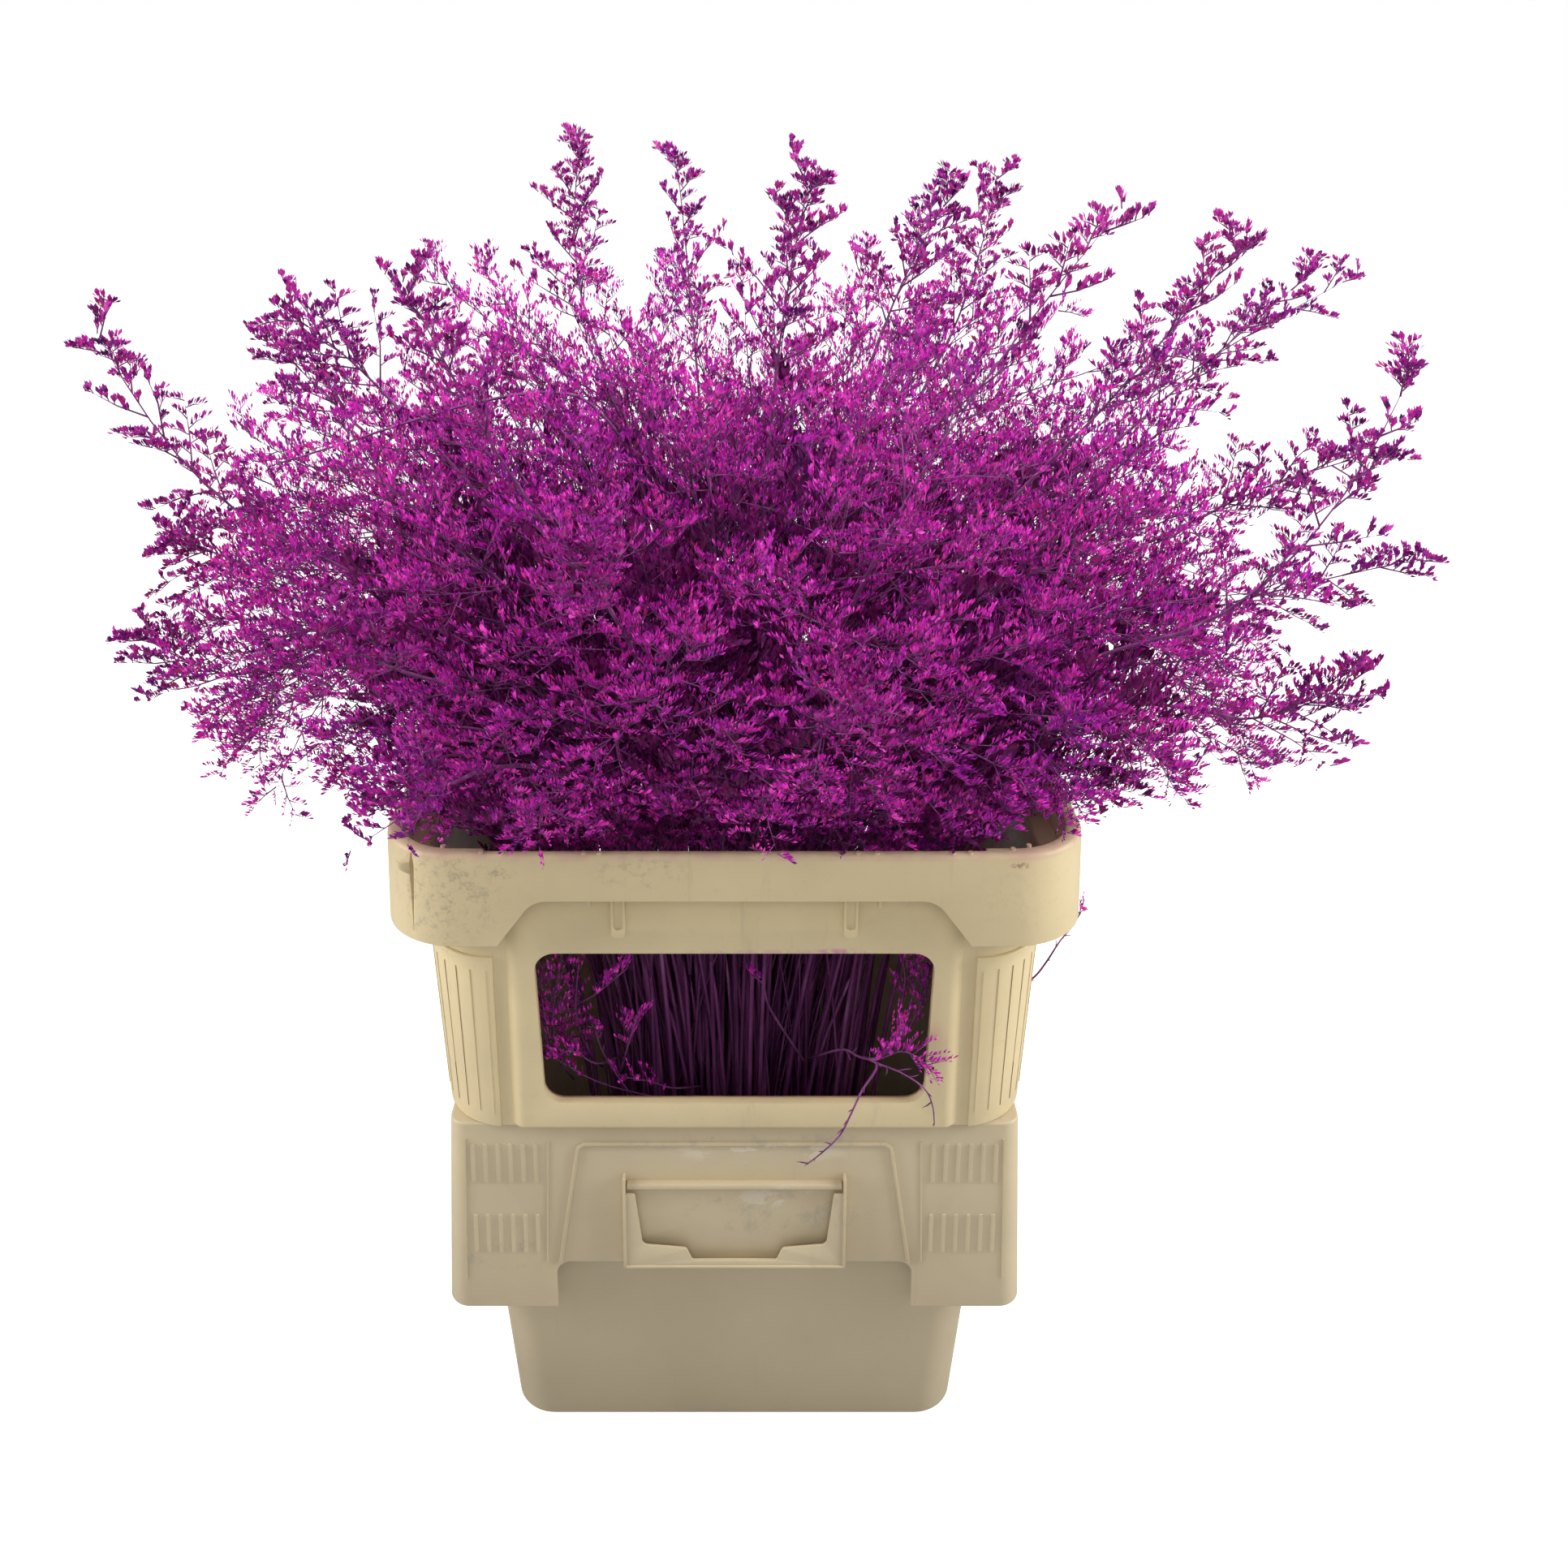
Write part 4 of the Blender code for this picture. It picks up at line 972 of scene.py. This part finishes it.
class Growth:
    """Gathers the tubes and florets of one piece and turns them into one mesh with its materials."""

    def __init__(self, seed):
        self.draw = np.random.default_rng(seed)
        self.vertices, self.triangles, self.slots, self.count = [], [], [], 0

    def add(self, vertices, triangles, slot):
        """vertices: (N, V, 3), triangles: (T, 3) inside each of the N."""
        if not len(vertices):
            return
        number, each = vertices.shape[:2]
        first = self.count + np.arange(number)[:, None, None] * each
        self.vertices.append(vertices.reshape(-1, 3))
        self.triangles.append((first + triangles[None]).reshape(-1, 3))
        self.slots.append(np.full(number * len(triangles), slot, np.int32))
        self.count += number * each

    def tubes(self, points, radii, sides=3):
        """Closed tubes along points (N, K, 3): rings at all but the last point, which is the tip."""
        number, rows = points.shape[:2]
        tangent = unit(np.gradient(points, axis=1))
        across = np.eye(3)[np.argmin(np.abs(points[:, -1] - points[:, 0]), axis=-1)][:, None, :]
        side = unit(np.cross(tangent, across))
        up = np.cross(side, tangent)
        turn = (ROUND * np.arange(sides) / sides)[:, None]
        radii = np.broadcast_to(radii, (number, rows - 1))
        ring = side[:, :-1, None] * np.cos(turn) + up[:, :-1, None] * np.sin(turn)
        rings = points[:, :-1, None] + ring * radii[..., None, None]
        vertices = np.concatenate((rings.reshape(number, -1, 3), points[:, -1:]), axis=1)
        faces = [(0, k, k + 1) for k in range(1, sides - 1)]
        for k, n in zip(range(sides), [*range(1, sides), 0]):
            for a in range(0, (rows - 2) * sides, sides):
                faces += [(a + n, a + k, a + sides + k), (a + sides + n, a + n, a + sides + k)]
            faces.append(((rows - 2) * sides + n, (rows - 2) * sides + k, (rows - 1) * sides))
        self.add(vertices, np.array(faces), BARK)

    def florets(self, base, heading, above, size, slot):
        """Florets from their roots: some are closed buds, most are folded blades, widest near their end."""
        number = len(base)
        spin = self.draw.uniform(0, ROUND, number)[:, None]
        side = unit(np.cross(heading, above))
        up = np.cross(side, heading)
        side, up = side * np.cos(spin) + up * np.sin(spin), up * np.cos(spin) - side * np.sin(spin)
        length, width = size
        end = base + heading * length
        closed = self.draw.random(number) < (0.0 if slot == DEEP_SHADE else BUD_SHARE)
        rim = [turned(side, up, np.full(number, ROUND * k / 3)) * width * BUD_WIDTH for k in range(3)]
        bud = np.stack([end, *(base + heading * length * BUD_FOOT + r for r in rim)], 1)[closed]
        self.add(bud, np.array([(0, 1, 2), (0, 2, 3), (0, 3, 1), (1, 3, 2)]), slot)
        middle = base + heading * length * BLADE_WIDEST + up * width * BLADE_FOLD
        half = side * width * 0.5
        blade = np.stack([base, middle + half, end, middle - half], 1)[~closed]
        self.add(blade, np.array([(0, 1, 2), (0, 2, 3)]), slot)

    def make(self, name, materials):
        mesh = bpy.data.meshes.new(name)
        vertices, triangles = np.concatenate(self.vertices), np.concatenate(self.triangles)
        mesh.from_pydata(vertices.tolist(), [], triangles.tolist(), shade_flat=False)
        for material in materials:
            mesh.materials.append(material)
        mesh.polygons.foreach_set("material_index", np.concatenate(self.slots))
        mesh.validate()
        return linked(name, mesh)


def sample(lines, s):
    """Places and tangents at shares s (N, M) of polylines (N, K, 3)."""
    steps = lines.shape[1] - 1
    at = np.clip(s, 0, 1) * steps
    k = np.minimum(at.astype(int), steps - 1)
    f = (at - k)[..., None]
    row = np.arange(len(lines))[:, None]
    a, b = lines[row, k], lines[row, k + 1]
    return a * (1 - f) + b * f, unit(b - a)


def turned(first, second, angle):
    """The direction at an angle from the first towards the second."""
    return first * np.cos(angle)[..., None] + second * np.sin(angle)[..., None]


def upright(along, wanted):
    """The direction across a line that is nearest to the wanted one."""
    return unit(wanted - along * np.sum(wanted * along, -1, keepdims=True))


def outgrow(tangent, turn, opening):
    """A direction that leaves a parent's tangent by an opening angle, at a turn round it: 0 is level."""
    side = unit(np.cross(tangent, UP + tangent[:, ::-1] * 0.05))
    lateral = turned(side, np.cross(side, tangent), turn)
    return turned(tangent, lateral, opening), lateral


def arcs(base, heading, lateral, length, curl, points, sag=0.0):
    """Curved lines (N, points, 3) that start along the heading and bend sideways by curl."""
    s = np.linspace(0, 1, points)[None, :, None]
    length, curl = length[:, None, None], curl[:, None, None]
    curve = upright(heading, lateral)[:, None]
    return base[:, None] + length * (heading[:, None] * s + (curve * curl - UP * sag) * s * s)


def grow_combs(growth, lines, shares, turns, lengths, look):
    """Short twigs on lines (N, K, 3) at shares (N, M), each with a comb of florets on its upper side."""
    draw, florets = growth.draw, look["florets"]
    base, tangent = (part.reshape(-1, 3) for part in sample(lines, shares))
    number = len(base)
    heading, lateral = outgrow(tangent, turns.reshape(-1), draw.uniform(*COMB_OPENING, number))
    curl, sag, points = np.zeros(number), 0.0, 2
    if look is TIP_LOOK:
        curl, sag, points = draw.uniform(0.05, 0.35, number), 0.14, 3
    comb = arcs(base, heading, lateral, lengths.reshape(-1), curl, points, sag)
    growth.tubes(comb, COMB_RADIUS)
    s = np.linspace(0.16, 1.0, florets)[None] + draw.uniform(-0.03, 0.03, (number, florets))
    place, along = sample(comb, s)
    upper = upright(along, (tangent * 0.35 + UP)[:, None])
    lean = draw.uniform(0.70, 1.05, (number, 1)) + draw.uniform(-0.12, 0.12, s.shape) - 0.5 * (s > 0.93)
    fan = draw.uniform(0.05, 0.40, s.shape) * np.where(np.arange(florets) % 2, 1, -1)
    direction = turned(along, turned(upper, np.cross(along, upper), fan), lean)
    grown = look["scale"] * draw.uniform(0.8, 1.2, s.shape) * (1.0 - 0.2 * np.clip(s, 0, 1))
    grown = grown.reshape(-1, 1)
    broad = TIP_BREADTH if look["slot"] == TIP else 1.0
    size = (FLORET_SIZE[0] * grown, FLORET_SIZE[1] * grown * broad)
    place, direction, upper = (part.reshape(-1, 3) for part in (place, unit(direction), upper))
    growth.florets(place, direction, upper, size, look["slot"])


def comb_turns(draw, number, combs):
    """Combs stand left and right by turns, a little above level."""
    tilt = draw.uniform(0.0, 0.9, (number, combs))
    return np.where(np.arange(combs)[None] % 2, tilt, math.pi - tilt)


def grow_side(growth, lines, look, first_share=0.22, radius=0.0008):
    """Feathers lines (N, K, 3): side twigs all round that shorten towards the tip, each with its combs."""
    draw = growth.draw
    number, rows = lines.shape[:2]
    subs, combs = look["subs"], look["combs"]
    growth.tubes(lines, radius * np.linspace(1.0, 0.45, rows - 1))
    share = np.linspace(first_share, 0.97, subs) + draw.uniform(-0.03, 0.03, (number, subs))
    base, tangent = (part.reshape(-1, 3) for part in sample(lines, share))
    flat = share.reshape(-1)
    turn = np.arange(subs) * TWIG_TURN + draw.uniform(0, ROUND, (number, 1))
    heading, lateral = outgrow(tangent, turn.reshape(-1), draw.uniform(*TWIG_OPENING, len(flat)))
    length = look["reach"] * (1.15 - 0.70 * flat) * draw.uniform(0.75, 1.2, len(flat))
    sub = arcs(base, heading, lateral, length, draw.uniform(-0.25, 0.20, len(flat)), 3, sag=0.04)
    growth.tubes(sub, radius * np.array((0.75, 0.55)))
    share = np.linspace(0.26, 0.98, combs) + draw.uniform(-0.05, 0.05, (len(sub), combs))
    lengths = (COMB_SHARE[look["slot"]] * length[:, None] + 0.005) * (1.25 - 0.6 * share)
    lengths = lengths * draw.uniform(0.8, 1.2, share.shape)
    grow_combs(growth, sub, share, comb_turns(draw, len(sub), combs), lengths, look)
    share = np.linspace(0.74, 1.0, 5) + np.zeros((number, 1))
    lengths = look["scale"] * 0.013 * draw.uniform(0.8, 1.2, share.shape)
    grow_combs(growth, lines, share, comb_turns(draw, number, 5), lengths, look)


def routes(starts, ends, rows, early=True):
    """Lines between disc places (u, v, t): early ones leave sideways, then turn up; others fan out."""
    s = np.linspace(0, 1, rows)[None, :, None]
    across, along = (1 - (1 - s) ** 1.5, s**1.15) if early else (s**1.1, s)
    place = starts[:, None] + (ends - starts)[:, None] * np.concatenate((across, across, along), -1)
    return bush_points(place[..., 0], place[..., 1], place[..., 2], FOOT_SPREAD, SIDE_PULL)


def companion_stalks(sites):
    """The other stalks of each stem's bunch: (stem, u, v, the t that it ends at)."""
    draw = np.random.default_rng(SEED)
    stalks = []
    for index, site in enumerate(sites):
        turn = math.atan2(site[1], site[0]) + draw.uniform(-0.9, 0.9)
        for other in range(STALKS):
            angle = turn + other * ROUND / STALKS
            spot = in_disc(site[None] + 0.10 * np.array([(math.cos(angle), math.sin(angle))]))[0]
            stalks.append((index, *spot, draw.uniform(0.66, 0.84)))
    return stalks


def side_ends():
    """Where side branches end in the disc: in clouds over the bush, round the mouth, and inside."""
    draw = np.random.default_rng(SEED + 1)
    ends = {kind: [] for kind in LOOKS}

    def add(kind, r, turn, t):
        ends[kind].append((r * math.cos(turn), r * math.sin(turn), t))

    cap = 1 - math.cos(BUSH_ANGLE * 1.05)
    polar, heading = cap_places(SIDES["surface"], cap)
    clouds = unit(cap_places(CLOUDS, cap)[1] + draw.normal(0.0, 0.05, (CLOUDS, 3)))
    off = np.arccos(np.clip((heading @ clouds.T).max(axis=1), -1, 1)) / math.sqrt(2 * cap / CLOUDS)
    for k, r in enumerate(polar / BUSH_ANGLE):
        front = max(-r * math.sin(k * GOLDEN), 0.0)
        sunk = CLOUD_DEPTH * off[k] ** 2 + (0.16 if k % 4 == 3 else 0.0) + 0.07 * front
        add("surface", r, k * GOLDEN, 1.04 - sunk + draw.uniform(-0.04, 0.04))
    for kind, rows in (("rim", RIM_ROWS), ("edge", EDGE_ROWS)):
        for k in range(SIDES[kind]):
            turn = even_turn((k + draw.uniform(-0.4, 0.4)) / SIDES[kind])
            front, back = max(-math.sin(turn), 0.0), max(math.sin(turn), 0.0)
            r, t = rows[k % len(rows)]
            r *= crown(turn) * (1 - 0.11 * front - 0.05 * back)
            add(kind, r, turn, t * (1 - 0.20 * front) + draw.uniform(-0.03, 0.03))
    for side, k in product((-1, 1), range(CORNER_ENDS)):
        share = k / (CORNER_ENDS - 1)
        turn = math.radians(270 + side * (37 + 38 * share))
        add("edge", (1.0 + 0.04 * (k % 2)) * crown(turn), turn, -0.10 - 0.24 * share + 0.05 * (k % 3))
    for kind, rim, low, high in (("inner", 0.94, 0.34, 0.84), ("low", 1.06, -0.28, 0.32)):
        for k in range(SIDES[kind]):
            r, t = rim * math.sqrt((k + 0.5) / SIDES[kind]), draw.uniform(low, high)
            if kind == "low":
                add(kind, r * crown(k * GOLDEN), k * GOLDEN, t)
            else:
                add(kind, r, k * GOLDEN, t - 0.16 * r * r)
    return {kind: np.array(spots) for kind, spots in ends.items()}


def cap_places(count, cap):
    """Even places over the cap of a sphere: their polar angles and their directions."""
    polar, angle = np.arccos(1 - (np.arange(count) + 0.5) / count * cap), np.arange(count) * GOLDEN
    out = np.sin(polar)
    return polar, np.stack((out * np.cos(angle), out * np.sin(angle), np.cos(polar)), -1)


def even_turn(share):
    """The disc's angle at a share of the way round the mouth, so that corners get as many ends as sides."""
    turns = np.linspace(-0.1, ROUND + 0.1, 800)
    places = bush_points(crown(turns) * np.cos(turns), crown(turns) * np.sin(turns), 0.0)[:, :2]
    gone = np.concatenate(((0.0,), np.cumsum(np.hypot(*np.diff(places, axis=0).T))))
    start, end = np.interp((0.0, ROUND), turns, gone)
    return float(np.interp(start + (end - start) * share, gone, turns))


def share_out(ends, stalks):
    """Gives each end to the nearest stalk: lists of (kind, start, end) for each stem."""
    draw = np.random.default_rng(SEED + 2)
    spots = np.array([stalk[1:3] for stalk in stalks])
    given = {index: [] for index in range(STEMS)}
    for kind, places in ends.items():
        low, high = LOOKS[kind]["under"]
        for place in places:
            nearest = int(np.argmin(np.hypot(*(spots - place[:2] * 0.9).T)))
            index, u, v, top = stalks[nearest]
            start = min(place[2] - draw.uniform(low, high), top)
            given[index].append((kind, (u, v, start), place))
    return given


def make_stem(index, sites, targets, stalks, given, materials):
    site = sites[index]
    growth = Growth(SEED * 1000 + index)
    goal = targets.get(index)
    if goal is None:
        less = 1 - 0.6 * max(-site[1], 0) - 0.3 * max(site[1], 0)
        goal = bush_point(*site, 1.0 + growth.draw.uniform(0.14, 0.24) * less)
    begin = bush_point(*site, TIP_START)
    way = unit(bush_point(*site, 1.1) - bush_point(*site, 0.9))
    ahead = begin + way * np.linalg.norm(goal - begin) * 0.42
    tip = bend(begin, ahead, goal, np.linspace(0, 1, 7)[:, None])

    stalk = np.concatenate((bush_points(*site, np.linspace(-1, TIP_START, 16)), tip[1:2]))
    growth.tubes(stalk[None], np.linspace(*MAIN_STALK, 16), 6)
    grow_side(growth, tip[None], TIP_LOOK, 0.03, 0.0010)
    for owner, u, v, top in stalks:
        if owner == index:
            stalk = bush_points(u, v, np.linspace(-1, top, 14), FOOT_SPREAD, SIDE_PULL)
            growth.tubes(stalk[None], np.linspace(*SIDE_STALK, 13), 5)
    for kind, look in LOOKS.items():
        lines = np.array([(start, end) for name, start, end in given[index] if name == kind])
        if len(lines):
            grow_side(growth, routes(lines[:, 0], lines[:, 1], 6), look)
    bare_twigs(growth, site)
    for owner, *extra in EXTRA_TWIGS:
        if owner == index + 1:
            extra_twig(growth, *extra)
    piece = growth.make(f"spray_{index + 1:02d}", materials)
    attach(piece, "root")
    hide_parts(f"statice_stem_{index + 1:02d}")


def bare_twigs(growth, site):
    """Bare stalks of many thicknesses between the main ones: they cross, and fork behind the window."""
    draw, number = growth.draw, BARE_STALKS
    angle, reach = draw.uniform(0, ROUND, number), 0.22 * np.sqrt(draw.random(number))
    spot = in_disc(site + np.stack((np.cos(angle), np.sin(angle)), -1) * reach[:, None])
    thick = (0.0006 + 0.0016 * draw.random(number) ** 1.6)[:, None]
    foot = spot * 0.5 + draw.normal(0.0, 0.30, (number, 2))
    foot = np.concatenate((in_disc(foot), np.full((number, 1), -1.0)), -1)
    fork = np.concatenate((spot, draw.uniform(-0.55, 0.08, (number, 1))), -1)
    growth.tubes(routes(foot, fork, 9, False), thick * np.linspace(1.2, 0.85, 8), 4)
    for side in (-1, 1):
        reach = side * draw.uniform(0.08, 0.26, (number, 1))
        away = reach * unit(draw.normal(0.0, 1.0, (number, 2)) + (1.5, 0.0))
        end = in_disc(fork + np.concatenate((away, draw.uniform(0.35, 0.60, (number, 1))), -1))
        growth.tubes(routes(fork, end, 6, False), thick * np.linspace(0.75, 0.35, 5))


def extra_twig(growth, radius, combs, comb_length, twigs, points):
    """A single twig along its places, with combs near its end and bare twigs all along it."""
    draw = growth.draw
    corners = np.array(points, float) / 1000 + UP * BUCKET_HEIGHT
    line = smooth_line(corners, 4 * len(corners))[None]
    growth.tubes(line, np.linspace(radius, radius * 0.45, line.shape[1] - 1), 4)
    first, last, number = combs
    if number:
        share = np.linspace(first, last, number)[None]
        lengths = comb_length * draw.uniform(0.75, 1.2, share.shape)
        grow_combs(growth, line, share, comb_turns(draw, 1, number), lengths, LOOKS["surface"])
    if twigs:
        base, tangent = sample(line, np.linspace(0.15, 0.97, twigs)[None])
        turn = draw.uniform(0, ROUND, twigs)
        heading, lateral = outgrow(tangent[0], turn, draw.uniform(0.5, 1.0, twigs))
        length, curl = draw.uniform(0.004, 0.011, twigs), draw.uniform(-0.2, 0.4, twigs)
        growth.tubes(arcs(base[0], heading, lateral, length, curl, 3), np.array((0.0006, 0.0005)))


def smooth_line(corners, count):
    """Places along a Catmull-Rom curve through the corners."""
    padded = np.concatenate((2 * corners[:1] - corners[1:2], corners, 2 * corners[-1:] - corners[-2:-1]))
    at = np.linspace(0, len(corners) - 1 - 1e-9, count)
    k = at.astype(int)
    s = (at - k)[:, None]
    a, b, c, d = (padded[k + step] for step in range(4))
    return 0.5 * (2 * b + (c - a) * s + (2 * a - 5 * b + 4 * c - d) * s**2 + (3 * b - a - 3 * c + d) * s**3)


# Floor


def make_floor():
    floor = object_from("floor", [(-9, -6, 0), (9, -6, 0), (9, 12, 0), (-9, 12, 0)], [(0, 1, 2, 3)])
    n = Nodes("pale_floor")
    cloud = n.ramp(n.noise(2.0), [(0.3, (0.30, 0.30, 0.30)), (0.7, (0.34, 0.34, 0.34))])
    seen = n.node("LightPath", {}).outputs["Is Camera Ray"]
    n.set(Base_Color=cloud, Roughness=0.85, Emission_Color=(1.0, 1.0, 1.0, 1.0), Emission_Strength=seen)
    floor.data.materials.append(n.material)


make_bucket(bucket_material())
make_collar(collar_material(), hole_material())
sites = disc_sites()
targets = tip_targets(sites)
stalks = companion_stalks(sites)
given = share_out(side_ends(), stalks)
# The second floret material is the first at 0.30 brightness: painted shade for the inner and low branches
florets = {"statice_floret": 1.0, "statice_floret_painted_shade": 0.30, "statice_tip_floret": 0.66}
statice = [bark_material(), *(floret_material(name, level) for name, level in florets.items())]
for stem in range(STEMS):
    make_stem(stem, sites, targets, stalks, given, statice)
make_floor()
